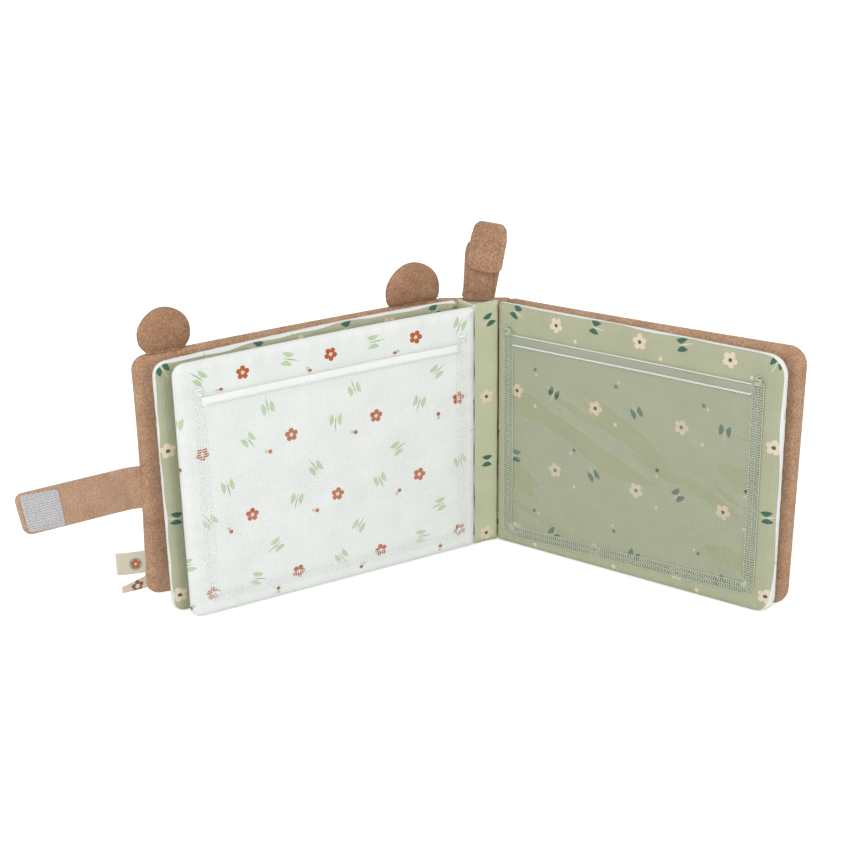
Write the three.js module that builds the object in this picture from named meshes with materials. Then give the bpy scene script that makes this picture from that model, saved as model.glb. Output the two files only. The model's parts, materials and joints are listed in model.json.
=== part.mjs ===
// Soft fabric photo album for a baby: plush covers, padded leaves with clear photo pockets,
// a hook-and-loop closure strap, two round ears and a hanging loop. It stands half open on
// its lower edges. Millimetres, +Z up, +X to the reader's right, +Y away from the reader.
import * as THREE from 'three';
import { mergeVertices } from 'three/addons/utils/BufferGeometryUtils.js';

// Clearances and cloth
const CLEARANCE = 0.3;
const PLUSH = 1.2;
const JERSEY = 0.7;
const SEAM = 1.0;
const SEAM_WIDTH = 1.6;
const SEAM_STEP = 0.25;

// Covers, from the fold line to the fore edge
const COVER_REACH = 184;
const COVER_HEIGHT = 148.6;
const COVER_THICKNESS = 9;
const COVER_CORNER = 13;
const COVER_EDGE = 6;
const COVER_FLANGE = 2.2;

// Leaves, from the fold line to the fore edge
const LEAF_REACH = 182;
const MIDDLE_LEAF_REACH = 180.5;
const LEAF_HEIGHT = 147;
const LEAF_THICKNESS = 7.2;
const LEAF_CORNER = 11;
const LEAF_EDGE = 5;
const LEAF_FLANGE = 1.4;
const ROOT_CORNER = 2.5;
const LEAF_LIFT = (COVER_HEIGHT - LEAF_HEIGHT) / 2;

// Photo pockets, sewn on three sides and open at the top
const FILM = 0.4;
const POCKET_ROOT = 6.7;
const POCKET_FORE = 9;
const POCKET_FOOT = 7;
const POCKET_HEAD = 16;
const POCKET_BORDER = 6.5;
const POCKET_CORNER = 1.5;
const HEM_HEIGHT = 6.5;
const HEM_DROP = 2;
const POCKET_RISE = CLEARANCE + FILM;

// Spine, fold lines and gutter
const SPINE_THICKNESS = 6;
const SPINE_EDGE = 5;
const LEAF_SLACK = 3.6;
const CLOSED_GAP = 0.5;
const GUTTER_CLOTH = 0.8;
const GUTTER_KNEE = new THREE.Vector2(1.1, 0.35);
const GUTTER_LIP = new THREE.Vector2(5.5, 1.6);
const GUTTER_FOOT = 2.9;
const COVER_FOLD_GAP = SEAM / 2 + 0.04;
const LEAF_FOLD_GAP = SEAM / 2 + 0.2;
const EDGE_START = 1.0;
const EDGE_END = 1.0;
const MIDDLE_SET_BACK = 4.4;
const LEAF_FOLD_X = LEAF_THICKNESS + 2 * POCKET_RISE + LEAF_SLACK;
const LEAF_ON_COVER = (LEAF_THICKNESS + COVER_THICKNESS) / 2 + POCKET_RISE + CLOSED_GAP;
const LEAF_FOLD_Y = -LEAF_ON_COVER;
const COVER_FOLD_X = LEAF_FOLD_X + LEAF_ON_COVER;

// Opening angles at rest, from flat, in degrees
const FRONT_COVER_OPEN = 31.5;
const FIRST_LEAF_OPEN = 33.5;
const MIDDLE_LEAF_OPEN = 33.5;
const LAST_LEAF_OPEN = 33.5;
const BACK_COVER_OPEN = 33;

// Ears on the front cover's top edge
const EAR_RADIUS = 15;
const EAR_CENTRE = 9.5;
const EAR_THICKNESS = 6;
const EAR_EDGE = 4;
const EAR_FROM_FOLD = 15.5;
const EAR_FROM_FORE_EDGE = 19.6;
const EAR_FOLD_GAP = 0.42;

// Closure strap on the front cover's fore edge, and its patches
const STRAP_WIDTH = 24.5;
const STRAP_THICKNESS = 2;
const STRAP_FOOT = 57.6;
const STRAP_ROOT = 3;
const STRAP_END = 26;
const STRAP_BEND = 14;
const STRAP_CORNER = 5;
const STRAP_SLACK = 0.5;
const PATCH = 22;
const PATCH_THICKNESS = 0.6;
const PATCH_CORNER = 3;
const PATCH_MARGIN = 1;
const LOOP_PATCH_GAP = 0.45;
const LOOP_PATCH_INSET = 4;

// Ribbon tags on the front cover's fore edge
const TAG_CLOTH = 0.8;
const TAG_GAP = 0.42;
const UPPER_TAG = { length: 18, width: 12, foot: 18, droop: 0 };
const LOWER_TAG = { length: 15, width: 8.5, foot: 8.5, droop: 14 };

// Hanging loop on the spine's top edge
const HANGER_WIDTH = 18;
const HANGER_CLOTH = 1.6;
const HANGER_LEAN = 5;
const TAB_RISE = 28;
const TAB_SET_BACK = 3.0;
const HANGER_PATCH_FOOT = 13;
const FLAP_FOOT = 11.5;
const FLAP_TOP = 34.7;
const LOOP_RISE = 41;
const LOOP_BELLY = 6.4;

// Facets of round edges and corners
const EDGE_STEPS = 3;
const CORNER_STEPS = 4;
const EAR_STEPS = 16;
const HANGER_STEPS = 18;

const radians = THREE.MathUtils.degToRad;
const PLUSH_CLOTH = { color: 0xa88064, roughness: 0.95, metalness: 0 };
const GREEN_CLOTH = { color: 0xb2b894, roughness: 0.9, metalness: 0 };
const WHITE_CLOTH = { color: 0xe8eeeb, roughness: 0.9, metalness: 0 };
const WADDING = { color: 0xf2efe6, roughness: 1, metalness: 0 };
const CLEAR_FILM = { color: 0xdfe6e2, roughness: 0.15, metalness: 0, transparent: true, opacity: 0.3 };
const THREAD = { color: 0xc8d0be, roughness: 0.8, metalness: 0 };
const HOOK_TAPE = { color: 0xc8c4c6, roughness: 0.7, metalness: 0 };
const TAG_RIBBON = { color: 0xd0caac, roughness: 0.85, metalness: 0 };

function addMesh(group, name, geometry, look) {
  const mesh = new THREE.Mesh(geometry, new THREE.MeshStandardMaterial(look));
  mesh.name = name;
  group.add(mesh);
}

function addGroup(parent, name, x, y, z) {
  const group = new THREE.Group();
  group.name = name;
  group.position.set(x, y, z);
  parent.add(group);
  return group;
}

// A closed surface through rings of equally many points, with a fan over each end
function loft(rings) {
  const count = rings[0].length;
  const points = rings.flat();
  const index = [];
  for (let r = 0; r < rings.length - 1; r += 1) {
    for (let i = 0; i < count; i += 1) {
      const a = r * count + i;
      const b = r * count + ((i + 1) % count);
      index.push(a, b, b + count, a, b + count, a + count);
    }
  }
  for (const [first, flip] of [[0, true], [(rings.length - 1) * count, false]]) {
    const middle = new THREE.Vector3();
    for (let i = 0; i < count; i += 1) middle.addScaledVector(points[first + i], 1 / count);
    const hub = points.push(middle) - 1;
    for (let i = 0; i < count; i += 1) {
      const a = first + i;
      const b = first + ((i + 1) % count);
      index.push(hub, flip ? b : a, flip ? a : b);
    }
  }
  let volume = 0;
  const normal = new THREE.Vector3();
  for (let t = 0; t < index.length; t += 3) {
    const [a, b, c] = [points[index[t]], points[index[t + 1]], points[index[t + 2]]];
    volume += a.dot(normal.crossVectors(b, c));
  }
  if (volume < 0) index.reverse();
  const geometry = new THREE.BufferGeometry().setFromPoints(points);
  geometry.setIndex(index);
  return geometry;
}

// Rounded rectangle in the panel's plane, at one level of its thickness
function panelRing(bounds, inset, level, corners) {
  const [left, right] = [bounds.left + inset, bounds.right - inset];
  const [low, high] = [bounds.low + inset, bounds.high - inset];
  const round = (radius) => Math.max(radius - inset, SEAM_STEP);
  const arcs = [
    [left, low, round(corners.left), 180],
    [right, low, round(corners.right), 270],
    [right, high, round(corners.right), 0],
    [left, high, round(corners.left), 90],
  ];
  const ring = [];
  for (const [x, z, radius, start] of arcs) {
    const cx = x + (x === left ? radius : -radius);
    const cz = z + (z === low ? radius : -radius);
    for (let i = 0; i <= CORNER_STEPS; i += 1) {
      const angle = radians(start + (90 * i) / CORNER_STEPS);
      ring.push(new THREE.Vector3(cx + radius * Math.cos(angle), level, cz + radius * Math.sin(angle)));
    }
  }
  return ring;
}

// Rings that swell from a sewn edge to the panel's face along a quarter ellipse
function swell(bounds, corners, side, from, to) {
  const rings = [];
  for (let i = 0; i <= EDGE_STEPS; i += 1) {
    const angle = (i * Math.PI) / 2 / EDGE_STEPS;
    const inset = from.inset + (to.inset - from.inset) * (1 - Math.cos(angle));
    const level = from.level + (to.level - from.level) * Math.sin(angle);
    rings.push(panelRing(bounds, inset, side * level, corners));
  }
  return rings;
}

// One face's cloth: a shallow tray that meets the other face's cloth along the sewn edge
function panelSkin(panel, side) {
  const { edge, padded, corners, half, round, cloth } = panel;
  const outer = swell(padded, corners, side,
    { inset: SEAM_STEP, level: SEAM / 2 }, { inset: round, level: half });
  const inner = swell(padded, corners, side,
    { inset: SEAM_WIDTH, level: CLEARANCE / 2 }, { inset: SEAM_WIDTH + round, level: half - cloth });
  const rim = [CLEARANCE / 2, SEAM / 2].map((level) => panelRing(edge, 0, side * level, corners));
  return loft([...inner.reverse(), ...rim, ...outer]);
}

// The padding sewn in between the two cloths
function panelPadding(panel) {
  const { padded, corners, half, round, cloth } = panel;
  const start = { inset: SEAM_WIDTH + CLEARANCE, level: 0 };
  const face = { inset: SEAM_WIDTH + CLEARANCE + round, level: half - cloth - CLEARANCE - CLEARANCE / 2 };
  const back = swell(padded, corners, -1, start, face).reverse();
  const front = swell(padded, corners, 1, start, face).slice(1);
  return loft([...back, ...front]);
}

function panelShape(reach, foldGap, flange, low, height, thickness, size) {
  const high = low + height;
  return {
    edge: { left: foldGap, right: reach, low, high },
    padded: { left: flange, right: reach, low, high },
    corners: { left: ROOT_CORNER, right: size.corner },
    half: thickness / 2,
    round: size.edge,
    cloth: size.cloth,
  };
}

function addPanel(group, panel, names, looks, frontSide) {
  addMesh(group, names.front, panelSkin(panel, frontSide), looks.front);
  addMesh(group, names.back, panelSkin(panel, -frontSide), looks.back);
  addMesh(group, names.pad, panelPadding(panel), WADDING);
}

function rectangle(left, right, low, high, radii) {
  const shape = new THREE.Shape();
  const [lowLeft, lowRight, highRight, highLeft] = radii;
  const quarter = Math.PI / 2;
  const corner = (x, z, radius, start) => {
    if (radius > 0) shape.absarc(x, z, radius, start, start + quarter, false);
    else shape.lineTo(x, z);
  };
  shape.moveTo(left + lowLeft, low);
  corner(right - lowRight, low + lowRight, lowRight, -quarter);
  corner(right - highRight, high - highRight, highRight, 0);
  corner(left + highLeft, high - highLeft, highLeft, quarter);
  corner(left + lowLeft, low + lowLeft, lowLeft, 2 * quarter);
  return shape;
}

// Plain closed solid of a flat outline: position only, with shared corners
function extrude(shape, depth) {
  const geometry = new THREE.ExtrudeGeometry(shape, { depth, bevelEnabled: false, curveSegments: CORNER_STEPS });
  geometry.deleteAttribute('normal');
  geometry.deleteAttribute('uv');
  return mergeVertices(geometry, 1e-3);
}

// An upright plate in the panel's plane, whose thickness runs from near to far along local y
function plate(shape, near, far) {
  const [low, high] = near < far ? [near, far] : [far, near];
  const upright = new THREE.Matrix4().makeBasis(
    new THREE.Vector3(1, 0, 0), new THREE.Vector3(0, 0, 1), new THREE.Vector3(0, -1, 0));
  return extrude(shape, high - low).applyMatrix4(upright).translate(0, high, 0);
}

// Outline of a strip of cloth of even thickness along a line of points
function ribbonShape(line, thickness) {
  const offset = (side) => line.map((point, i) => {
    const before = point.clone().sub(line[Math.max(i - 1, 0)]).normalize();
    const after = line[Math.min(i + 1, line.length - 1)].clone().sub(point).normalize();
    const along = before.clone().add(after).normalize();
    const reach = (side * thickness) / 2 / (along.dot(i ? before : after));
    return new THREE.Vector2(point.x - along.y * reach, point.y + along.x * reach);
  });
  return new THREE.Shape([...offset(-1), ...offset(1).reverse()]);
}

function addPocket(group, name, side, panel) {
  const face = side * (panel.half + CLEARANCE);
  const proud = side * (panel.half + CLEARANCE + FILM);
  const left = POCKET_ROOT;
  const right = panel.edge.right - POCKET_FORE;
  const low = panel.edge.low + POCKET_FOOT;
  const high = panel.edge.high - POCKET_HEAD;
  const border = new THREE.Shape();
  border.moveTo(left, high);
  border.absarc(left + POCKET_CORNER, low + POCKET_CORNER, POCKET_CORNER, Math.PI, 1.5 * Math.PI, false);
  border.absarc(right - POCKET_CORNER, low + POCKET_CORNER, POCKET_CORNER, -Math.PI / 2, 0, false);
  border.lineTo(right, high);
  border.lineTo(right - POCKET_BORDER, high);
  border.lineTo(right - POCKET_BORDER, low + POCKET_BORDER);
  border.lineTo(left + POCKET_BORDER, low + POCKET_BORDER);
  border.lineTo(left + POCKET_BORDER, high);
  addMesh(group, `${name}_border`, plate(border, face, proud), THREAD);
  const inside = POCKET_BORDER + CLEARANCE;
  const hemTop = high - HEM_DROP;
  const hemFoot = hemTop - HEM_HEIGHT;
  const square = [0, 0, 0, 0];
  const window = rectangle(left + inside, right - inside, low + inside, hemFoot - CLEARANCE, square);
  addMesh(group, `${name}_window`, plate(window, face, proud), CLEAR_FILM);
  const hem = rectangle(left + inside, right - inside, hemFoot, hemTop, square);
  addMesh(group, `${name}_hem`, plate(hem, face, proud), CLEAR_FILM);
}

// A padded leaf: printed cloth on both faces and a photo pocket on each
function addLeaf(group, name, reach, foldGap, frontSide, frontLook, backLook) {
  const size = { corner: LEAF_CORNER, edge: LEAF_EDGE, cloth: JERSEY };
  const panel = panelShape(reach, foldGap, LEAF_FLANGE, LEAF_LIFT, LEAF_HEIGHT, LEAF_THICKNESS, size);
  const names = { front: `${name}_front`, back: `${name}_back`, pad: `${name}_pad` };
  addPanel(group, panel, names, { front: frontLook, back: backLook }, frontSide);
  addPocket(group, `${name}_front_pocket`, frontSide, panel);
  addPocket(group, `${name}_back_pocket`, -frontSide, panel);
}

function addCover(group, name, innerSide) {
  const size = { corner: COVER_CORNER, edge: COVER_EDGE, cloth: PLUSH };
  const panel = panelShape(COVER_REACH, COVER_FOLD_GAP, COVER_FLANGE, 0, COVER_HEIGHT, COVER_THICKNESS, size);
  const names = { front: `${name}_lining`, back: `${name}_outer`, pad: `${name}_pad` };
  addPanel(group, panel, names, { front: PLUSH_CLOTH, back: PLUSH_CLOTH }, innerSide);
}

// Round plush ear with a straight sewn base, hinged just above the cover's top edge
function addEar(cover, name, along) {
  const axis = COVER_HEIGHT + EAR_FOLD_GAP;
  const ear = addGroup(cover, name, along, 0, axis);
  const ring = (inset, level) => {
    const radius = EAR_RADIUS - inset;
    const start = Math.asin((inset - EAR_CENTRE) / radius);
    return Array.from({ length: EAR_STEPS + 1 }, (_, i) => {
      const angle = start + ((Math.PI - 2 * start) * i) / EAR_STEPS;
      const rise = EAR_FOLD_GAP + EAR_CENTRE + radius * Math.sin(angle);
      return new THREE.Vector3(radius * Math.cos(angle), level, rise);
    });
  };
  const rings = [ring(0, SEAM / 2)];
  for (let i = 1; i <= EDGE_STEPS; i += 1) {
    const angle = (i * Math.PI) / 2 / EDGE_STEPS;
    const level = SEAM / 2 + (EAR_THICKNESS / 2 - SEAM / 2) * Math.sin(angle);
    rings.push(ring(EAR_EDGE * (1 - Math.cos(angle)), level));
  }
  const mirrored = rings.map((points) => points.map((p) => new THREE.Vector3(p.x, -p.y, p.z)));
  addMesh(ear, name, loft([...mirrored.reverse(), ...rings]), PLUSH_CLOTH);
}

// The strap leaves the fore edge, turns round the closed leaves and lies on the back cover
function addClosure(cover) {
  const leafClosed = LEAF_REACH - LEAF_FOLD_Y;
  const middleClosed = MIDDLE_LEAF_REACH - LEAF_FOLD_Y - MIDDLE_SET_BACK;
  const rootEnd = Math.max(COVER_REACH + STRAP_ROOT, Math.max(leafClosed, middleClosed) + STRAP_SLACK);
  const inner = STRAP_THICKNESS / 2;
  const stack = LOOP_PATCH_GAP + 2 * PATCH_THICKNESS + 2 * CLEARANCE;
  const bandLength = 2 * COVER_FOLD_X - inner + COVER_THICKNESS / 2 + stack;
  const [low, high] = [STRAP_FOOT, STRAP_FOOT + STRAP_WIDTH];
  const cut = CLEARANCE / 2;
  const square = [0, 0, 0, 0];
  const root = rectangle(COVER_REACH + CLEARANCE, rootEnd - cut, low, high, square);
  addMesh(cover, 'closure_strap_root', plate(root, -inner, inner), PLUSH_CLOTH);
  const band = addGroup(cover, 'closure_strap', rootEnd, inner, 0);
  band.rotation.z = radians(STRAP_BEND);
  const bandShape = rectangle(cut, bandLength - cut, low, high, square);
  addMesh(band, 'closure_strap_band', plate(bandShape, -STRAP_THICKNESS, 0), PLUSH_CLOTH);
  const end = addGroup(band, 'closure_end', bandLength, 0, 0);
  const endShape = rectangle(cut, STRAP_END, low, high, [0, STRAP_CORNER, STRAP_CORNER, 0]);
  addMesh(end, 'closure_strap_end', plate(endShape, -STRAP_THICKNESS, 0), PLUSH_CLOTH);
  const patch = patchShape(STRAP_END - PATCH_MARGIN - PATCH);
  addMesh(end, 'closure_hook_patch', plate(patch, CLEARANCE, CLEARANCE + PATCH_THICKNESS), HOOK_TAPE);
}

function patchShape(left) {
  const low = STRAP_FOOT + (STRAP_WIDTH - PATCH) / 2;
  return rectangle(left, left + PATCH, low, low + PATCH, Array(4).fill(PATCH_CORNER));
}

// The loop patch that the closure catches on, on the back cover's outer face
function addCatch(cover, outerSide) {
  const near = outerSide * (COVER_THICKNESS / 2 + LOOP_PATCH_GAP);
  const far = near + outerSide * PATCH_THICKNESS;
  const patch = patchShape(COVER_REACH - LOOP_PATCH_INSET - PATCH);
  addMesh(cover, 'closure_loop_patch', plate(patch, near, far), HOOK_TAPE);
}

function addTag(cover, name, tag) {
  const group = addGroup(cover, name, COVER_REACH + TAG_GAP, 0, 0);
  const drop = tag.length * Math.tan(radians(tag.droop));
  const shape = new THREE.Shape([
    new THREE.Vector2(0, tag.foot),
    new THREE.Vector2(tag.length, tag.foot - drop),
    new THREE.Vector2(tag.length, tag.foot + tag.width - drop),
    new THREE.Vector2(0, tag.foot + tag.width),
  ]);
  addMesh(group, name, plate(shape, -TAG_CLOTH / 2, TAG_CLOTH / 2), TAG_RIBBON);
}

// Rear strap that arches over to the front, its flap, and the tab that the flap fastens to
function addHanger(spine) {
  const lean = radians(HANGER_LEAN);
  const lift = CLEARANCE + (HANGER_WIDTH / 2) * Math.sin(lean);
  const hanger = addGroup(spine, 'hanger', 0, 0, COVER_HEIGHT + lift);
  hanger.rotation.y = lean;
  const half = HANGER_CLOTH / 2;
  const sideways = new THREE.Matrix4().makeBasis(
    new THREE.Vector3(0, 1, 0), new THREE.Vector3(0, 0, 1), new THREE.Vector3(1, 0, 0));
  const strip = (shape, width) => extrude(shape, width).applyMatrix4(sideways).translate(-width / 2, 0, 0);
  const slab = (front, back, low, high, width) => strip(rectangle(front, back, low, high, [0, 0, 0, 0]), width);
  const sewn = SPINE_THICKNESS / 2 - HANGER_CLOTH / 2 - CLEARANCE * 2;

  const tabFront = -TAB_SET_BACK - half;
  const loopPatch = tabFront - CLEARANCE;
  const hookPatch = loopPatch - PATCH_THICKNESS - CLEARANCE;
  const flapBack = hookPatch - PATCH_THICKNESS - CLEARANCE;
  const flapMiddle = flapBack - half;
  const flapFront = flapBack - HANGER_CLOTH;

  const arch = new THREE.CatmullRomCurve3([
    new THREE.Vector3(sewn, 0, 0),
    new THREE.Vector3(sewn + 0.7, LOOP_RISE * 0.14, 0),
    new THREE.Vector3(LOOP_BELLY - 0.8, LOOP_RISE * 0.4, 0),
    new THREE.Vector3(LOOP_BELLY, LOOP_RISE * 0.66, 0),
    new THREE.Vector3(LOOP_BELLY - 1.8, LOOP_RISE * 0.88, 0),
    new THREE.Vector3(0, LOOP_RISE - half, 0),
    new THREE.Vector3(flapMiddle + 1.4, FLAP_TOP + 3.6, 0),
    new THREE.Vector3(flapMiddle, FLAP_TOP + 1.6, 0),
    new THREE.Vector3(flapMiddle, FLAP_TOP + CLEARANCE / 2, 0),
  ]);
  const archLine = arch.getPoints(HANGER_STEPS).map((p) => new THREE.Vector2(p.x, p.y));
  addMesh(hanger, 'hanger_rear_strap', strip(ribbonShape(archLine, HANGER_CLOTH), HANGER_WIDTH), PLUSH_CLOTH);

  const tabLine = [
    new THREE.Vector2(-sewn, 0),
    new THREE.Vector2(-TAB_SET_BACK, HANGER_PATCH_FOOT * 0.7),
    new THREE.Vector2(-TAB_SET_BACK, TAB_RISE),
  ];
  addMesh(hanger, 'hanger_tab', strip(ribbonShape(tabLine, HANGER_CLOTH), HANGER_WIDTH), PLUSH_CLOTH);

  const patchWidth = HANGER_WIDTH - 2 * PATCH_MARGIN;
  const patchTop = TAB_RISE - PATCH_MARGIN;
  const loop = slab(loopPatch - PATCH_THICKNESS, loopPatch, HANGER_PATCH_FOOT, patchTop, patchWidth);
  addMesh(hanger, 'hanger_loop_patch', loop, HOOK_TAPE);

  const flap = addGroup(hanger, 'hanger_flap', 0, flapFront, FLAP_TOP);
  const flapLow = FLAP_FOOT - FLAP_TOP;
  addMesh(flap, 'hanger_flap', slab(0, HANGER_CLOTH, flapLow, -CLEARANCE / 2, HANGER_WIDTH), PLUSH_CLOTH);
  const hookNear = HANGER_CLOTH + CLEARANCE;
  const hook = slab(hookNear, hookNear + PATCH_THICKNESS,
    HANGER_PATCH_FOOT - FLAP_TOP, patchTop - FLAP_TOP, patchWidth);
  addMesh(flap, 'hanger_hook_patch', hook, HOOK_TAPE);
}

// Padded spine between the two cover folds, and the gutter cloth that holds the leaves' folds
function addSpine(album) {
  const spine = addGroup(album, 'spine', 0, 0, 0);
  const [low, high] = [0, COVER_HEIGHT];
  const edge = COVER_FOLD_X - COVER_FOLD_GAP;
  const padded = COVER_FOLD_X - COVER_FLANGE;
  const panel = {
    edge: { left: -edge, right: edge, low, high },
    padded: { left: -padded, right: padded, low, high },
    corners: { left: ROOT_CORNER, right: ROOT_CORNER },
    half: SPINE_THICKNESS / 2,
    round: SPINE_EDGE,
    cloth: PLUSH,
  };
  const names = { front: 'spine_lining', back: 'spine_cover', pad: 'spine_pad' };
  addPanel(spine, panel, names, { front: PLUSH_CLOTH, back: PLUSH_CLOTH }, -1);

  const footX = LEAF_FOLD_X - GUTTER_FOOT;
  const footY = -SPINE_THICKNESS / 2 - CLEARANCE - GUTTER_CLOTH / 2;
  const kneeX = LEAF_FOLD_X - GUTTER_KNEE.x;
  const kneeY = LEAF_FOLD_Y - GUTTER_KNEE.y;
  const line = [
    new THREE.Vector2(-LEAF_FOLD_X, LEAF_FOLD_Y + LEAF_FOLD_GAP),
    new THREE.Vector2(-LEAF_FOLD_X, footY),
    new THREE.Vector2(footX, footY),
    new THREE.Vector2(kneeX, kneeY),
    new THREE.Vector2(kneeX - GUTTER_LIP.x, kneeY - GUTTER_LIP.y),
  ];
  const strip = extrude(ribbonShape(line, GUTTER_CLOTH), LEAF_HEIGHT).translate(0, 0, LEAF_LIFT);
  addMesh(spine, 'gutter_strip', strip, GREEN_CLOTH);
  addHanger(spine);
}

const album = new THREE.Group();
addSpine(album);

// Left of the gutter a panel's local +y faces the reader, right of it local -y does
const frontCover = addGroup(album, 'front_cover', -COVER_FOLD_X, 0, 0);
frontCover.rotation.z = radians(180 + FRONT_COVER_OPEN);
addCover(frontCover, 'front_cover', 1);
addEar(frontCover, 'spine_ear', EAR_FROM_FOLD);
addEar(frontCover, 'fore_edge_ear', COVER_REACH - EAR_FROM_FORE_EDGE);
addClosure(frontCover);
addTag(frontCover, 'upper_tag', UPPER_TAG);
addTag(frontCover, 'lower_tag', LOWER_TAG);

const backCover = addGroup(album, 'back_cover', COVER_FOLD_X, 0, 0);
backCover.rotation.z = radians(-BACK_COVER_OPEN);
addCover(backCover, 'back_cover', -1);
addCatch(backCover, 1);

const firstLeaf = addGroup(album, 'first_leaf', -LEAF_FOLD_X, LEAF_FOLD_Y, 0);
firstLeaf.rotation.z = radians(180 + FIRST_LEAF_OPEN);
addLeaf(firstLeaf, 'first_leaf', LEAF_REACH, LEAF_FOLD_GAP, 1, GREEN_CLOTH, WHITE_CLOTH);

const lastLeaf = addGroup(album, 'last_leaf', LEAF_FOLD_X, LEAF_FOLD_Y, 0);
lastLeaf.rotation.z = radians(-LAST_LEAF_OPEN);
addLeaf(lastLeaf, 'last_leaf', LEAF_REACH, LEAF_FOLD_GAP, -1, GREEN_CLOTH, WHITE_CLOTH);

// The middle leaf turns on an unpadded sewn edge, which is held beside the first leaf's fold
const edgeLine = new THREE.Vector2(-MIDDLE_SET_BACK, LEAF_FOLD_X);
const edgeWay = edgeLine.clone().normalize();
const edgeEnds = [
  edgeWay.clone().multiplyScalar(EDGE_START),
  edgeWay.clone().multiplyScalar(edgeLine.length() - EDGE_END),
];
const edgeCloth = extrude(ribbonShape(edgeEnds, SEAM), LEAF_HEIGHT).translate(0, 0, LEAF_LIFT);
addMesh(firstLeaf, 'middle_leaf_edge', edgeCloth, WHITE_CLOTH);
const middleLeaf = addGroup(firstLeaf, 'middle_leaf', edgeLine.x, edgeLine.y, 0);
middleLeaf.rotation.z = radians(MIDDLE_LEAF_OPEN - FIRST_LEAF_OPEN);
addLeaf(middleLeaf, 'middle_leaf', MIDDLE_LEAF_REACH, COVER_FOLD_GAP, 1, WHITE_CLOTH, GREEN_CLOTH);

// Origin under the middle of the standing album
album.updateMatrixWorld(true);
const bounds = new THREE.Box3().setFromObject(album, true);
const middle = bounds.getCenter(new THREE.Vector3());
album.position.set(-middle.x, -middle.y, -bounds.min.z);
album.updateMatrixWorld(true);

export default album;
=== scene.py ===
"""A padded cloth photo album that stands half open: plush covers with two ears, three leaves with
clear photo pockets, a closing strap, two ribbon tags and a hanging loop. Lengths are in metres."""
import json
import math

import bmesh
import bpy
import numpy as np
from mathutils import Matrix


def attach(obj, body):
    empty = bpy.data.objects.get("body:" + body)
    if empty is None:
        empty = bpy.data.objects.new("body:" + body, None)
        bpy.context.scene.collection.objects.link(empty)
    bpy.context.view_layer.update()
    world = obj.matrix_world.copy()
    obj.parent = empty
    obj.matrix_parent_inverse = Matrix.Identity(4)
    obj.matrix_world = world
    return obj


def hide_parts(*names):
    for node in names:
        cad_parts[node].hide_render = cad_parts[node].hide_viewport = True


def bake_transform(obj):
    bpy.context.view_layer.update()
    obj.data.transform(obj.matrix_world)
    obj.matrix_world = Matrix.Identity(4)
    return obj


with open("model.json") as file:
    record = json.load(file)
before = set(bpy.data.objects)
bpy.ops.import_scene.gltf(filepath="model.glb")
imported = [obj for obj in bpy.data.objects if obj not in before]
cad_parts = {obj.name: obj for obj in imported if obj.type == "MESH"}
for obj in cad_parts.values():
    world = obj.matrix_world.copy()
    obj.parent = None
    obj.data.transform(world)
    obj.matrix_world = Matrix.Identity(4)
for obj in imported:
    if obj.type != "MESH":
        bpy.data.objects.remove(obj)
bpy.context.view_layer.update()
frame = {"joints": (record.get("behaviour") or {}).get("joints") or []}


# Front and back cover: short-pile plush over a sheet of wadding, lined with the same plush.
# Outer cloth and lining are sewn face to face round three sides, turned and stuffed, so the
# seam runs round the middle of the edge and draws the cloth into small puckers.
class Finish:
    """A material in the making: one Principled shader, with the values that are even all over the
    surface, and the nodes that feed it. Each method adds a node and gives its answer."""

    def __init__(self, name, **even):
        self.material = bpy.data.materials.new(name)
        self.material.use_nodes = True
        self.tree = self.material.node_tree
        self.shader = self.tree.nodes["Principled BSDF"]
        for socket, value in even.items():
            self.shader.inputs[socket.replace("_", " ")].default_value = value

    def node(self, kind, inputs=(), answer=0, **settings):
        """Any node: settings go on the node, and each input takes another's answer or a value."""
        made = self.tree.nodes.new("ShaderNode" + kind)
        for key, value in settings.items():
            setattr(made, key, value)
        for key, value in dict(inputs).items():
            if isinstance(value, bpy.types.NodeSocket):
                self.tree.links.new(value, made.inputs[key])
            else:
                made.inputs[key].default_value = value
        return made.outputs[answer]

    def sum(self, operation, *terms):
        """A sum with one to three terms."""
        return self.node("Math", enumerate(terms), operation=operation)

    def noise(self, place, scale, detail, **more):
        """Noise with grains of about 1/scale."""
        return self.node("TexNoise", {"Vector": place, "Scale": scale, "Detail": detail, **more})

    def bands(self, place, axis, scale, bent, **more):
        """Even waves that follow each other along an axis, bent a little by a noise."""
        inputs = {"Vector": place, "Scale": scale, "Distortion": bent, **more}
        return self.node("TexWave", inputs, 1, bands_direction=axis)

    def ramp(self, value, low, high, first=0.0, last=1.0):
        """first where the value is under low, last where it is over high, and even between."""
        return self.node("MapRange", {0: value, 1: low, 2: high, 3: first, 4: last})

    def parts(self, vector):
        """A vector's lengths along x, y and z."""
        return self.node("SeparateXYZ", {0: vector}).node.outputs

    def tint(self, amount, under, over):
        """Colour under, painted with colour over where amount is 1."""
        return self.node("Mix", {0: amount, 6: under, 7: over}, 2, data_type="RGBA")

    def made_up(self, colour, height, strength, distance):
        """The finished material, with a colour and with bump from a height."""
        bump = self.node("Bump", {"Height": height, "Strength": strength, "Distance": distance})
        self.tree.links.new(colour, self.shader.inputs["Base Color"])
        self.tree.links.new(bump, self.shader.inputs["Normal"])
        return self.material


def dye(red, green, blue):
    """A screen colour of 0 to 255 as linear light: ((c + 0.055) / 1.055) to the power 2.4."""
    levels = (np.array([red, green, blue]) / 255 + 0.055) / 1.055
    return (*levels ** 2.4, 1.0)


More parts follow.
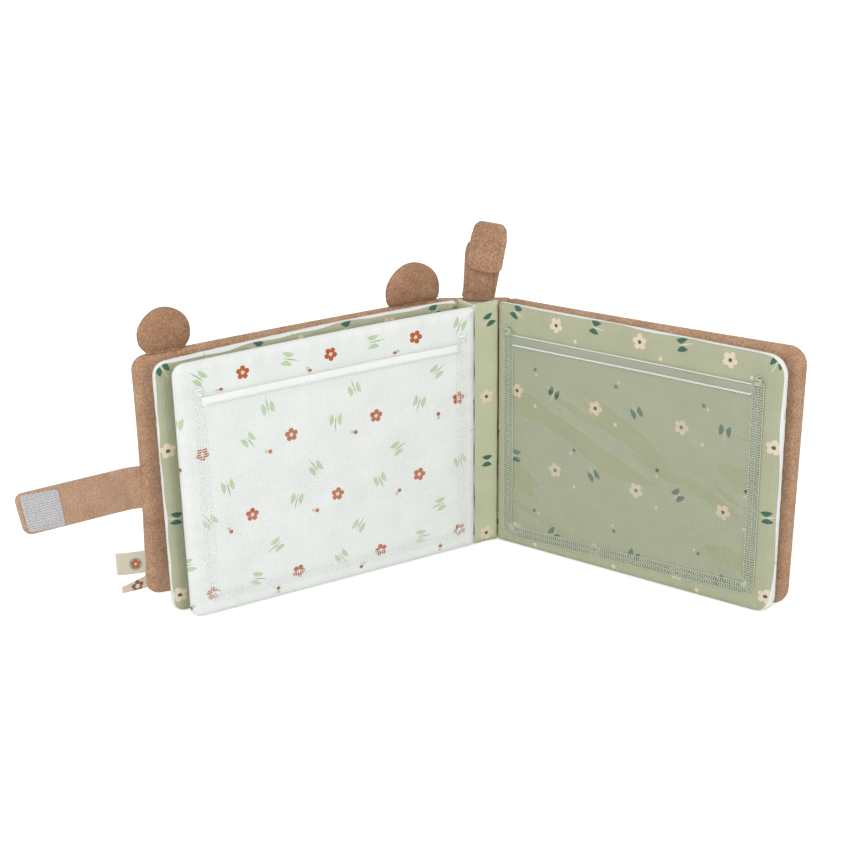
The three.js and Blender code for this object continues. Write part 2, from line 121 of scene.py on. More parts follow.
def plush_finish(name, shade, light):
    """Short pile: clumps about 1 mm across, with finer fibre ends on them, stand up as bump. The
    colour goes with the clumps and with broad soft patches, where the nap is brushed the other way.
    A sheen takes the light at the rims."""
    finish = Finish(name, Roughness=0.95, Specular_IOR_Level=0.15, Sheen_Weight=0.34, Sheen_Roughness=0.4,
                    Sheen_Tint=(1.0, 0.92, 0.8, 1.0))
    place = finish.node("TexCoord", answer="Object")
    pile = finish.noise(place, 1100.0, 2.0)
    tufts = finish.noise(place, 2600.0, 1.0)
    nap = finish.noise(place, 70.0, 4.0, Roughness=0.7)
    brushed = finish.sum("MULTIPLY", finish.ramp(nap, 0.3, 0.7), 0.4)
    spread = finish.sum("MULTIPLY_ADD", finish.ramp(pile, 0.34, 0.66), 0.6, brushed)
    height = finish.sum("MULTIPLY_ADD", tufts, 0.4, pile)
    return finish.made_up(finish.tint(spread, shade, light), height, 0.55, 0.0009)


plush = plush_finish("brown_plush", dye(153, 114, 87), dye(213, 176, 145))
fold_at = {joint["name"]: np.array(joint["pos_m"]) for joint in frame["joints"]}
ALL_ROUND = 6.283


def panel_place(fold, lean, side, s, n, z):
    """A point of a leaning panel: the fold's place, plus s out along the panel, n towards the
    reader and z up. side is -1 for a panel on the left and 1 on the right."""
    out, across = math.cos(math.radians(lean)), math.sin(math.radians(lean))
    x = fold[0] + side * (out * s - across * n)
    y = fold[1] - across * s - out * n
    return np.stack(np.broadcast_arrays(x, y, z), axis=-1)


def corner_view(cut, s, z):
    """A point as the nearest corner of a rounded rectangle sees it: the corner's radius, how far the
    point lies past the corner's centre along s and along z, and which way is out along each."""
    mid_s, half_s = (cut["start"] + cut["reach"]) / 2, (cut["reach"] - cut["start"]) / 2
    mid_z, half_z = (cut["foot"] + cut["head"]) / 2, (cut["head"] - cut["foot"]) / 2
    radius = np.where(s > mid_s, cut["corner"], cut["root_corner"])
    past_s, past_z = np.abs(s - mid_s) - half_s + radius, np.abs(z - mid_z) - half_z + radius
    return radius, past_s, past_z, np.sign(s - mid_s), np.sign(z - mid_z)


def depth_inside(cut, s, z):
    """How far a point lies inside a rounded rectangle: the corner's radius less its distance from
    the rectangle that is set in by that radius."""
    radius, past_s, past_z, _, _ = corner_view(cut, s, z)
    beyond = np.hypot(np.maximum(past_s, 0), np.maximum(past_z, 0))
    return np.maximum(radius - beyond - np.minimum(np.maximum(past_s, past_z), 0), 0)


def inward(cut, s, z):
    """The direction from the outline straight into the cut: towards the corner's middle in a
    corner, square to the nearest edge elsewhere."""
    _, past_s, past_z, out_s, out_z = corner_view(cut, s, z)
    flat, sideways = np.maximum(past_s, past_z) <= 0, past_s > past_z
    a = np.where(flat, sideways, np.maximum(past_s, 0))
    b = np.where(flat, ~sideways, np.maximum(past_z, 0))
    size = np.maximum(np.hypot(a, b), 1e-9)
    return -out_s * a / size, -out_z * b / size


def rounded_steps(low, high, edge, inner, turns=7):
    """Places from low to high: equal turns of a quarter circle over both edges, even between."""
    turn = edge * (1 - np.cos(np.linspace(0, math.pi / 2, turns + 1)))
    middle = np.linspace(low + edge, high - edge, inner + 2)[1:-1]
    return np.concatenate([low + turn, middle, high - turn[::-1]])


def cut_grid(cut, inner_s, inner_z):
    """A grid over the cut, with the squares at its corners pressed on to quarter discs:
    x becomes x·sqrt(1 - z²/2) and z becomes z·sqrt(1 - x²/2), in corner radii."""
    s, z = np.meshgrid(rounded_steps(cut["start"], cut["reach"], cut["edge"], inner_s),
                       rounded_steps(cut["foot"], cut["head"], cut["edge"], inner_z))
    radius, past_s, past_z, out_s, out_z = corner_view(cut, s, z)
    x, y = np.maximum(past_s, 0) / radius, np.maximum(past_z, 0) / radius
    return (s + out_s * radius * (x * np.sqrt(1 - y * y / 2) - x),
            z + out_z * radius * (y * np.sqrt(1 - x * x / 2) - y))


def soft_waves(s, z, seed, longest, count=6):
    """Low waves like those of wadding under cloth: the mean of some sines of s and z, each with a
    drawn direction, phase and length between a third of the longest and the longest."""
    draw = np.random.default_rng(seed)
    total = 0 * s
    for _ in range(count):
        turn, phase, length = draw.uniform(0, ALL_ROUND), draw.uniform(0, ALL_ROUND), draw.uniform(0.35, 1)
        along = s * math.cos(turn) + z * math.sin(turn)
        total = total + np.sin(ALL_ROUND * along / (longest * length) + phase) / count
    return total


def seam_puckers(cut, s, z, seed, pitch=0.011, deep=0.003):
    """Short folds that stand square to the seam, one pitch apart: a sine along the edge, its phase
    drawn out by slow waves, times a hump d·e^(1 - d), with d the depth counted in deep. The hump is
    highest at one deep and all but gone at six."""
    depth = depth_inside(cut, s, z) / deep
    drift = 2.4 * soft_waves(s, z, seed, 0.05)
    side = np.minimum(np.abs(s - cut["start"]), np.abs(cut["reach"] - s))
    level = np.minimum(np.abs(z - cut["foot"]), np.abs(cut["head"] - z))
    along = np.where(side < level, z, s)
    uneven = 0.6 + 0.4 * soft_waves(s, z, seed + 1, 0.04)
    return depth * np.exp(1 - depth) * np.sin(ALL_ROUND * along / pitch + drift) * uneven


def pad_rise(cut, s, z, seed, shoulder=0.016):
    """Half the thickness of a stuffed panel: a quarter ellipse over the edge, then a low crown that
    is full past its shoulder, with soft waves in the middle and puckers along the seam."""
    depth = depth_inside(cut, s, z)
    edge = np.sqrt(1 - (1 - np.clip(depth / cut["edge"], 0, 1)) ** 2)
    lift = (cut["crown"] + cut["wave"] * soft_waves(s, z, seed, 0.09)) * (1 - np.exp(-depth / shoulder))
    return cut["half"] * edge + lift + cut["pucker"] * seam_puckers(cut, s, z, seed)


def grid_quads(rows, columns):
    """Corner numbers of the squares of a grid that is stored row by row."""
    first = (np.arange(rows - 1)[:, None] * columns + np.arange(columns - 1)).reshape(-1, 1)
    return first + np.array([0, 1, columns + 1, columns])


def in_scene(name, data):
    """A new object in the scene, unturned and at the origin."""
    made = bpy.data.objects.new(name, data)
    bpy.context.scene.collection.objects.link(made)
    return made


def make_piece(name, points, faces, finishes, cloth_mm=None, finish_of=None):
    """A mesh object from arrays. Doubles are merged and the faces turned outwards; cloth_mm is the
    place of each point on the flat cloth, in millimetres, kept as a UV map."""
    mesh = bpy.data.meshes.new(name)
    mesh.from_pydata(points.reshape(-1, 3).tolist(), [], [list(face) for face in faces])
    if cloth_mm is not None:
        corner = np.empty(len(mesh.loops), dtype=np.int64)
        mesh.loops.foreach_get("vertex_index", corner)
        layer = mesh.uv_layers.new(name="cloth")
        layer.data.foreach_set("uv", cloth_mm.reshape(-1, 2)[corner].astype(np.float32).ravel())
    for finish in finishes:
        mesh.materials.append(finish)
    if finish_of is not None:
        mesh.polygons.foreach_set("material_index", np.asarray(finish_of, dtype=np.int32))
    work = bmesh.new()
    work.from_mesh(mesh)
    bmesh.ops.remove_doubles(work, verts=work.verts, dist=4e-6)
    bmesh.ops.recalc_face_normals(work, faces=work.faces)
    work.to_mesh(mesh)
    work.free()
    mesh.polygons.foreach_set("use_smooth", np.ones(len(mesh.polygons), dtype=bool))
    return in_scene(name, mesh)


def sagging_place(fold, lean, side, cut, drop, lift, slant, sway=(0.0, 0.0), waist=0.0, near=0.09):
    """The places of a soft panel: its head comes down by drop[0] at the fold and drop[1] at the fore
    edge, its foot goes up by lift there, both as the square of s, and heights between share it.
    slant makes it narrower below a share slant[1] of its height, by slant[0] for the whole height.
    sway moves the head of its root over the floor, fading as a square while it is near the fold, and
    waist draws the middle of its height in, as a parabola."""
    def place(s, n, z):
        far = (np.asarray(s) / cut["reach"]) ** 2
        level = np.asarray(z) / cut["head"]
        down = (drop[0] + (drop[1] - drop[0]) * far) * level
        narrowed = s * (1 + slant[0] * (level - slant[1]) - 4 * waist * level * (1 - level))
        aside = level * np.clip(1 - np.asarray(s) / near, 0, 1) ** 2
        shifted = aside[..., None] * np.array([*sway, 0.0])
        return panel_place(fold, lean, side, narrowed, n, z - down + lift * far * (1 - level)) + shifted
    return place


def padded_panel(name, cut, place, rise_to, rise_from, finishes, inner, roll=None):
    """A stuffed panel: one grid over the cut, raised to the reader's side by rise_to and to the
    other by rise_from, and joined at the seam. Round the edge a point stands at a turn of a quarter
    ellipse, 0 at the outline; roll moves the seam from turn 0 to a turn on the reader's side. Each
    sheet's flat cloth runs on round the edge by the length of that turn."""
    s, z = cut_grid(cut, *inner)
    edge, half = cut["edge"], cut["half"]
    depth = depth_inside(cut, s, z)
    rounded = depth < edge
    turn = np.arccos(np.clip(1 - depth / edge, 0, 1))
    seam = 0 * s if roll is None else roll(s, z)
    into_s, into_z = inward(cut, s, z)
    sheets, flats = [], []
    for side, rise in ((1, rise_to), (-1, rise_from)):
        rolled = side * turn + seam * (1 - turn / (math.pi / 2))
        deeper = np.where(rounded, edge * (1 - np.cos(rolled)), depth) - depth
        over = np.where(rounded, half * np.sin(rolled), side * half)
        over = over + side * (rise(s, z) - half * np.sin(turn))
        sheets.append(place(s + into_s * deeper, over, z + into_z * deeper))
        arc = (edge + half) / 2 * (math.pi / 2 - side * rolled)
        unrolled = np.where(rounded, edge - arc - depth, 0)
        flats.append(np.stack([s + into_s * unrolled, z + into_z * unrolled], axis=-1) * 1000)
    quads = grid_quads(*s.shape)
    faces = np.concatenate([quads, quads[:, ::-1] + s.size])
    return make_piece(name, np.stack(sheets), faces, finishes, np.stack(flats),
                      np.repeat([0, len(finishes) - 1], len(quads)))


cover_facts = {
    "front_cover": dict(side=-1, lean=31.5, corner=0.0085, drop=(0.0018, 0.0044), lift=0.0056,
                        slant=(-0.016, 1.0), waist=0.007),
    "back_cover": dict(side=1, lean=33.0, corner=0.0105, drop=(0.0018, 0.0), lift=0.0,
                       slant=(0.027, 1.0), waist=0.0),
}
for number, (cover, facts) in enumerate(cover_facts.items()):
    cut = dict(start=0.0006, reach=0.184, foot=0.0, head=0.1486, corner=facts["corner"], root_corner=0.0015,
               half=0.0044, edge=0.006, crown=0.0006, wave=0.0008, pucker=0.0005)
    inside = dict(cut, crown=-0.0011, wave=0.0003)
    place = sagging_place(fold_at[cover + "_fold"], facts["lean"], facts["side"], cut, facts["drop"],
                          facts["lift"], facts["slant"], waist=facts["waist"])
    facts.update(cut=cut, place=place)
    panel = padded_panel(cover + "_panel", cut, place, lambda s, z: pad_rise(inside, s, z, 11 + number),
                         lambda s, z: pad_rise(cut, s, z, 21 + number), [plush], (84, 70))
    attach(panel, cover)
    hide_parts(cover + "_outer", cover + "_lining", cover + "_pad")


# Spine: a narrow stuffed panel of the same plush, which stands between the two covers. Its cloth
# runs on into both covers, and it has settled by a hundredth of its height.
SPINE_SETTLE = 0.010
spine_mid = (fold_at["front_cover_fold"] + fold_at["back_cover_fold"]) / 2
spine_cut = dict(start=-0.0208, reach=0.0208, foot=0.0, head=0.1486, corner=0.0015, root_corner=0.0015,
                 half=0.0029, edge=0.0035, crown=0.0003, wave=0.0003, pucker=0.0002)
spine = padded_panel("spine_panel", spine_cut,
                     lambda s, n, z: panel_place(spine_mid, 0.0, 1, s, n, z - SPINE_SETTLE * z),
                     lambda s, z: pad_rise(spine_cut, s, z, 31), lambda s, z: pad_rise(spine_cut, s, z, 32),
                     [plush], (20, 52))
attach(spine, "spine")
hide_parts("spine_cover", "spine_lining", "spine_pad")


def path_ahead(path):
    """The direction of a path at each of its points, of length 1."""
    ahead = np.gradient(path, axis=0)
    return ahead / np.linalg.norm(ahead, axis=1)[:, None]


def path_length(path):
    """The length of a path up to each of its points."""
    return np.concatenate([[0], np.cumsum(np.linalg.norm(np.diff(path, axis=0), axis=1))])


def band(name, path, wide, thick, width, thickness, finishes, turns=40):
    """A flat strip with rounded edges: an oval carried along a path. A point of the oval is
    width/2·c·|c|^-0.6 along wide and thickness/2·t·|t|^-0.2 along thick, with c and t the cosine
    and sine of its turn, and both ends are closed flat."""
    count = len(path)
    wide, thick = np.broadcast_to(wide, path.shape), np.broadcast_to(thick, path.shape)
    width, thickness = (np.broadcast_to(size, count)[:, None] for size in (width, thickness))
    turn = np.linspace(0, 2 * math.pi, turns, endpoint=False)
    c, t = np.cos(turn), np.sin(turn)
    c, t = np.sign(c) * np.abs(c) ** 0.4, np.sign(t) * np.abs(t) ** 0.8
    points = (path[:, None] + wide[:, None] * (c * width / 2)[..., None]
              + thick[:, None] * (t * thickness / 2)[..., None])
    quads = grid_quads(count, turns + 1)
    row, column = quads // (turns + 1), quads % (turns + 1) % turns
    last = (count - 1) * turns
    faces = (row * turns + column).tolist() + [list(range(turns))[::-1], list(range(last, last + turns))]
    flat = np.stack(np.broadcast_arrays(c * width / 2, path_length(path)[:, None]), axis=-1) * 1000
    piece = make_piece(name, points, faces, finishes, flat)
    smooth = np.arange(len(piece.data.polygons)) < len(quads)
    piece.data.polygons.foreach_set("use_smooth", smooth)
    return piece


FOLD_HALF, FOLD_MIDDLE, FOLD_HEIGHT, FOLD_THICKNESS = 0.0042, 0.0735, 0.1462, 0.0056
for cover, facts in cover_facts.items():
    fold = fold_at[cover + "_fold"]
    far = panel_place(fold, facts["lean"], facts["side"], FOLD_HALF, 0.0, 0.0)
    near = fold - np.array([facts["side"] * FOLD_HALF, 0, 0])
    bend = np.linspace(0, 1, 9)[:, None]
    path = (1 - bend) ** 2 * near + 2 * bend * (1 - bend) * fold + bend ** 2 * far
    ahead = path_ahead(path)
    square = np.stack([-ahead[:, 1], ahead[:, 0], 0 * ahead[:, 0]], axis=1)
    strip = band(cover + "_fold_cloth", path + np.array([0, 0, FOLD_MIDDLE]), (0, 0, 1), square,
                 FOLD_HEIGHT, FOLD_THICKNESS, [plush])
    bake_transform(strip)


# Leaves: two layers of printed cotton jersey, one green and one white, over thin wadding. They
# are sewn round like the covers, and the seam rolls to the reader's side, where the far cloth
# shows as a thin rim.
def scattered(finish, place, pitch, start, seed):
    """Gives each motif a frame of its own. The cloth is cut into cells of one pitch, with every
    other row moved half a cell; the place is taken from the cell's middle and turned by a drawn
    angle. Returns the place along and across the motif."""
    across, up = (finish.sum("MULTIPLY_ADD", part, 1 / step, -first / step)
                  for part, step, first in zip(finish.parts(place), pitch, start))
    row = finish.sum("ROUND", up)
    half = finish.sum("MULTIPLY", finish.sum("FLOORED_MODULO", row, 2.0), 0.5)
    moved = finish.sum("ADD", across, half)
    column = finish.sum("ROUND", moved)
    x = finish.sum("MULTIPLY", finish.sum("SUBTRACT", moved, column), pitch[0])
    y = finish.sum("MULTIPLY", finish.sum("SUBTRACT", up, row), pitch[1])
    cell = finish.node("CombineXYZ", {0: column, 1: row, 2: float(seed)})
    turn = finish.sum("MULTIPLY", finish.node("TexWhiteNoise", {"Vector": cell}, "Value"), ALL_ROUND)
    spot = finish.node("CombineXYZ", {0: x, 1: y})
    turned = finish.node("VectorRotate", {"Vector": spot, "Angle": turn}, rotation_type="Z_AXIS")
    return finish.parts(turned)[:2]


def inked(finish, inside, blur=0.35):
    """1 where inside is over 0, 0 where it is under, across blur millimetres."""
    return finish.ramp(inside, -blur / 2, blur / 2)


def dot_shape(finish, x, y, radius, middle=(0.0, 0.0)):
    """The radius less the distance from the middle."""
    dx, dy = finish.sum("SUBTRACT", x, middle[0]), finish.sum("SUBTRACT", y, middle[1])
    squares = finish.sum("MULTIPLY_ADD", dx, dx, finish.sum("MULTIPLY", dy, dy))
    return finish.sum("SUBTRACT", radius, finish.sum("SQRT", squares))


def blossom_shape(finish, x, y, radius):
    """Five round petals: radius·(0.5 + 0.5·sqrt|cos 2.5a|) less the distance, at angle a."""
    angle = finish.sum("MULTIPLY", finish.sum("ARCTAN2", y, x), 2.5)
    petal = finish.sum("SQRT", finish.sum("ABSOLUTE", finish.sum("COSINE", angle)))
    reach = finish.sum("MULTIPLY_ADD", petal, 0.5 * radius, 0.5 * radius)
    return finish.sum("ADD", dot_shape(finish, x, y, 0.0), reach)


def leaf_shape(finish, x, y, long, wide, middle=(0.0, 0.0), bow=0.0):
    """A pointed oval: wide·(1 - (x/long)²) less the distance from its bowed middle line."""
    dx, dy = finish.sum("SUBTRACT", x, middle[0]), finish.sum("SUBTRACT", y, middle[1])
    share = finish.sum("MULTIPLY", dx, 1 / long)
    square = finish.sum("MULTIPLY", share, share)
    line = finish.sum("ABSOLUTE", finish.sum("MULTIPLY_ADD", square, -bow, dy))
    return finish.sum("SUBTRACT", finish.sum("MULTIPLY_ADD", square, -wide, wide), line)


def jersey_finish(name, ground, pitch, motifs, darkest=0.88):
    """Printed jersey: ribs and rows of the knit 1.3 mm apart across a fine noise, as bump and as a
    slight shade; the print lies over the ground colour, each motif in flat inks that the knit
    breaks up."""
    finish = Finish(name, Roughness=0.88, Specular_IOR_Level=0.2, Sheen_Weight=0.08)
    place = finish.node("UVMap", uv_map="cloth")
    ribs = finish.bands(place, "X", 0.22, 0.5, Detail=1.0)
    rows = finish.bands(place, "Y", 0.25, 0.6, Detail=1.0)
    slub = finish.noise(place, 0.9, 2.0)
    knit = finish.sum("MULTIPLY_ADD", ribs, 0.6, finish.sum("MULTIPLY_ADD", rows, 0.4, slub))
    colour = ground
    for start, seed, inks in motifs:
        x, y = scattered(finish, place, pitch, start, seed)
        for shape, ink, sizes in inks:
            ragged = finish.sum("MULTIPLY_ADD", slub, 0.5, shape(finish, x, y, *sizes))
            colour = finish.tint(inked(finish, finish.sum("SUBTRACT", ragged, 0.25)), colour, ink)
    cloud = finish.ramp(finish.noise(place, 0.05, 1.0), 0.3, 0.7, 0.97, 1.02)
    shade = finish.sum("MULTIPLY", finish.ramp(knit, 0.3, 1.7, darkest, 1.05), cloud)
    shaded = finish.node("VectorMath", {0: colour, "Scale": shade}, operation="SCALE")
    return finish.made_up(shaded, knit, 0.35, 0.0003)


rust, cream, pale = dye(182, 98, 60), dye(234, 214, 190), dye(190, 210, 172)
deep, moss = dye(70, 112, 92), dye(126, 160, 120)
sprig = [(leaf_shape, pale, (3.5, 1.4, (0.9, 2.4), 0.6)), (leaf_shape, pale, (3.5, 1.4, (0.9, -2.4), -0.6)),
         (leaf_shape, moss, (4.6, 0.26, (-1.2, 0.0), 0.0))]
twig = [(leaf_shape, deep, (3.3, 1.5, (0.6, 2.1), 0.7)), (leaf_shape, deep, (3.3, 1.5, (0.6, -2.1), -0.7)),
        (leaf_shape, cream, (4.6, 0.28, (-1.6, 0.0), 0.0))]
white_jersey = jersey_finish("white_print_jersey", dye(234, 237, 234), (52.0, 41.0), [
    ((12.0, 14.0), 1, [(blossom_shape, rust, (3.9,)), (dot_shape, cream, (1.1,))]),
    ((37.0, 16.0), 2, sprig),
    ((25.0, 33.0), 3, sprig),
    ((25.0, 7.0), 4, [(dot_shape, rust, (1.2,)), (dot_shape, pale, (1.0, (2.2, 0.6)))]),
], 0.95)
GREEN_PITCH = (54.0, 43.0)
green_print = [
    ((16.0, 12.0), 5, [(blossom_shape, cream, (4.4,)), (dot_shape, deep, (1.1,))]),
    ((42.0, 15.0), 6, twig),
    ((29.0, 27.0), 7, [(dot_shape, deep, (1.1,)), (dot_shape, cream, (0.9, (3.0, 1.0)))]),
    ((29.0, 5.0), 8, [(dot_shape, cream, (1.1,))]),
]
green_jersey = jersey_finish("green_print_jersey", dye(181, 184, 155), GREEN_PITCH, green_print)


def seam_distance(pocket, s, z):
    """Distance from the pocket's row of border stitches: the least of those from its two upright
    runs and its foot, once the pocket's tilt is taken off the height."""
    at_root, at_fore, at_top = pocket["tilt"]
    lifted = at_root + (at_fore - at_root) * s / pocket["fore"]
    z = (z - lifted) / (1 + (at_top - lifted) / pocket["top"])
    inset = pocket["border"] / 2
    left, right, foot = pocket["root"] + inset, pocket["fore"] - inset, pocket["foot"] + inset
    above = np.maximum(z - pocket["top"], 0) + np.maximum(foot - z, 0)
    beside = np.maximum(left - s, 0) + np.maximum(s - right, 0)
    uprights = np.hypot(np.minimum(np.abs(s - left), np.abs(s - right)), above)
    return np.minimum(uprights, np.hypot(z - foot, beside))


def leaf_rise(cut, pocket, s, z, seed, pressed=0.0004, across=0.0034):
    """A stuffed panel's half thickness, pressed in along the border stitches by a bell curve."""
    groove = pressed * np.exp(-(seam_distance(pocket, s, z) / across) ** 2)
    return pad_rise(cut, s, z, seed) - groove * np.clip(depth_inside(cut, s, z) / 0.004, 0, 1)


def seam_roll(cut, roll, s, z, seed, near=0.012):
    """How far the seam rolls to the reader's side, in radians: roll[0], more by roll[1] near the fore
    edge and by roll[2] near the head, and uneven by slow waves."""
    at_fore = roll[1] * np.clip((s - cut["reach"]) / near + 1.2, 0, 1)
    at_head = roll[2] * np.clip((z - cut["head"]) / near + 1.2, 0, 1)
    return (roll[0] + at_fore + at_head) * (1 + 0.9 * soft_waves(s, z, seed, 0.06))


# drop and slant are a soft panel's, roll is the seam's, margin lies between the pocket and the fore
# edge, and tilt lifts the pocket's foot at the root, its foot at the fore edge, and its top.
leaf_facts = {
    "first_leaf": dict(side=-1, reach=0.182, fold="first_leaf_fold", cloths=("green", "white"),
                       corner=0.0075, drop=(-0.0016, 0.0026), slant=(0.0, 1.0), roll=(0.30, 0.16, 0.34),
                       margin=0.009, tilt=(0.0, 0.0, 0.0)),
    "middle_leaf": dict(side=-1, reach=0.1805, fold="middle_leaf_turn", cloths=("white", "green"),
                        corner=0.0065, drop=(0.0, 0.0014), slant=(0.0, 1.0), roll=(0.06, 0.06, 0.0),
                        margin=0.009, tilt=(0.0, 0.0, 0.0)),
    "last_leaf": dict(side=1, reach=0.182, fold="last_leaf_fold", cloths=("green", "white"),
                      corner=0.0105, drop=(-0.0006, 0.0006), slant=(0.012, 0.5), roll=(0.34, 0.34, 0.06),
                      margin=0.0106, tilt=(-0.0014, 0.0032, 0.0012)),
}
LEAF_LEAN, ROOT_SWAY = 33.5, (0.0028, -0.0018)
jersey = {"green": green_jersey, "white": white_jersey}
for number, (leaf, facts) in enumerate(leaf_facts.items()):
    cut = dict(start=0.0007, reach=facts["reach"], foot=0.0008, head=0.1478, corner=facts["corner"],
               root_corner=0.002, half=0.0034, edge=0.005, crown=0.0006, wave=0.0005, pucker=0.0004)
    under = cut if leaf == "middle_leaf" else dict(cut, crown=-0.0004, wave=0.0002)
    pocket = dict(root=0.0067, fore=facts["reach"] - facts["margin"], foot=0.0078, top=0.1318,
                  border=0.0065, tilt=facts["tilt"])
    place = sagging_place(fold_at[facts["fold"]], LEAF_LEAN, facts["side"], cut, facts["drop"], 0.0,
                          facts["slant"], ROOT_SWAY)
    seed = 41 + 2 * number
    facts.update(pocket=pocket, place=place, faces={1: (cut, seed), -1: (under, seed + 1)})
    panel = padded_panel(leaf + "_panel", cut, place, lambda s, z: leaf_rise(cut, pocket, s, z, seed),
                         lambda s, z: leaf_rise(under, pocket, s, z, seed + 1),
                         [jersey[cloth] for cloth in facts["cloths"]], (92, 74),
                         lambda s, z: seam_roll(cut, facts["roll"], s, z, seed + 7))
    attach(panel, leaf)
    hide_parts(leaf + "_front", leaf + "_back", leaf + "_pad")


# Photo pockets: clear vinyl film on each face of each leaf, open at the top. A double row of
# ladder stitches holds it on three sides, and the open edge is folded down and stitched as a hem.
WHITE = (1.0, 1.0, 1.0, 1.0)


def film_finish(name, haze, standing, clinging, stain):
    """Clear film: what lies behind shows through, a little stained. Where the film clings to the
    cloth it is clearer, and where it stands off hazier, with sharp winding edges between that run
    along one diagonal. Its front side mirrors a Fresnel share; lamps shine through it."""
    finish = Finish(name, Base_Color=haze, Roughness=0.6, Specular_IOR_Level=0.1)
    place = finish.node("UVMap", uv_map="cloth")
    drawn = finish.node("Mapping", {"Vector": place, "Rotation": (0.0, 0.0, -0.42),
                                    "Scale": (130.0, 42.0, 1.0)}, vector_type="TEXTURE")
    veil = finish.ramp(finish.noise(drawn, 1.0, 2.0, Distortion=1.1), 0.515, 0.523, standing, clinging)
    front = finish.sum("SUBTRACT", 1.0, finish.node("NewGeometry", answer="Backfacing"))
    stained, unseen = (finish.node("BsdfTransparent", {0: colour}) for colour in (stain, WHITE))
    gloss = finish.node("BsdfGlossy", {0: WHITE, "Roughness": 0.12})
    lit = stained
    for share, over in ((finish.sum("MULTIPLY", veil, front), finish.shader.outputs[0]),
                        (finish.sum("MULTIPLY", finish.node("Fresnel", {"IOR": 1.2}), front), gloss),
                        (finish.node("LightPath", answer="Is Shadow Ray"), unseen)):
        lit = finish.node("MixShader", {0: share, 1: lit, 2: over})
    finish.tree.links.new(lit, finish.tree.nodes["Material Output"].inputs[0])
    return finish.material


def thread_finish(name, shade, light):
    """Twisted thread: a noise with grains of about 0.4 mm breaks up its colour and stands as bump."""
    finish = Finish(name, Roughness=0.75, Sheen_Weight=0.1)
    ply = finish.noise(finish.node("TexCoord", answer="Object"), 2600.0, 1.0)
    return finish.made_up(finish.tint(ply, shade, light), ply, 0.4, 0.0002)


def stitch_rows(name, tails, heads, out, radius, arch, finish, sides=5):
    """Stitches as short rounded threads, one from each tail to its head. Across a stitch four rings
    swell from 0.45 to 1 of the radius, and its middle stands off the cloth along out by arch."""
    out = np.broadcast_to(out, tails.shape)
    along = (heads - tails) / np.linalg.norm(heads - tails, axis=1)[:, None]
    across = np.cross(out, along)
    across /= np.linalg.norm(across, axis=1)[:, None]
    square = np.cross(along, across)
    share = np.array([0.0, 0.28, 0.72, 1.0])[:, None]
    size = radius * np.array([0.45, 1.0, 1.0, 0.45])[:, None, None]
    lift = arch * np.array([0.0, 1.0, 1.0, 0.0])[:, None]
    turn = np.linspace(0, 2 * math.pi, sides, endpoint=False)[:, None]
    ring = across[:, None] * np.cos(turn) + square[:, None] * np.sin(turn)
    centre = tails[:, None] + (heads - tails)[:, None] * share + out[:, None] * lift
    points = centre[:, :, None] + ring[:, None] * size
    row, column = np.divmod(np.arange(3 * sides), sides)
    beside = (column + 1) % sides
    corner = np.stack([row * sides + column, row * sides + beside,
                       (row + 1) * sides + beside, (row + 1) * sides + column], axis=1)
    each = np.arange(len(tails))[:, None, None] * 4 * sides
    walls = (each + corner).reshape(-1, 4).tolist()
    ends = np.stack([np.arange(sides)[::-1], 3 * sides + np.arange(sides)])
    caps = (each + ends).reshape(-1, sides).tolist()
    return make_piece(name, points, walls + caps, [finish])


def on_face(facts, face, s, n_over, z):
    """A point n_over above one face of a leaf, so that the film, hem and thread follow it. A pocket's
    tilt lifts its foot by tilt[0] at the root and tilt[1] at the fore edge, and its top by tilt[2]."""
    at_root, at_fore, at_top = facts["pocket"]["tilt"]
    lifted = at_root + (at_fore - at_root) * s / facts["pocket"]["fore"]
    z = z + lifted + (at_top - lifted) * z / facts["pocket"]["top"]
    cut, seed = facts["faces"][face]
    return facts["place"](s, face * (leaf_rise(cut, facts["pocket"], s, z, seed) + n_over), z)


def two_sided(name, first, second, flat, finishes):
    """A thin sheet from the grids of its two sides: the first turned over, the second, and a wall
    round the rim between them. The second side and the wall take the last of the finishes."""
    rows, columns = flat.shape[:2]
    quads, size = grid_quads(rows, columns), rows * columns
    rim = np.concatenate([np.arange(columns), columns * np.arange(2, rows + 1) - 1,
                          size - 1 - np.arange(1, columns), columns * (rows - 1 - np.arange(1, rows - 1))])
    after = np.roll(rim, -1)
    wall = np.stack([rim, after, after + size, rim + size], axis=1)
    faces = np.concatenate([quads[:, ::-1], quads + size, wall])
    last = (np.arange(len(faces)) >= len(quads)) * (len(finishes) - 1)
    return make_piece(name, np.stack([first, second]), faces, finishes, np.stack([flat, flat]), last)


def film_sheet(name, s, z, lower, out, finish, thickness=0.0002):
    """A sheet of film: the grid of its lower side, and the same grid moved along out."""
    return two_sided(name, lower, lower + out * thickness, np.stack([s, z], axis=-1) * 1000, [finish])


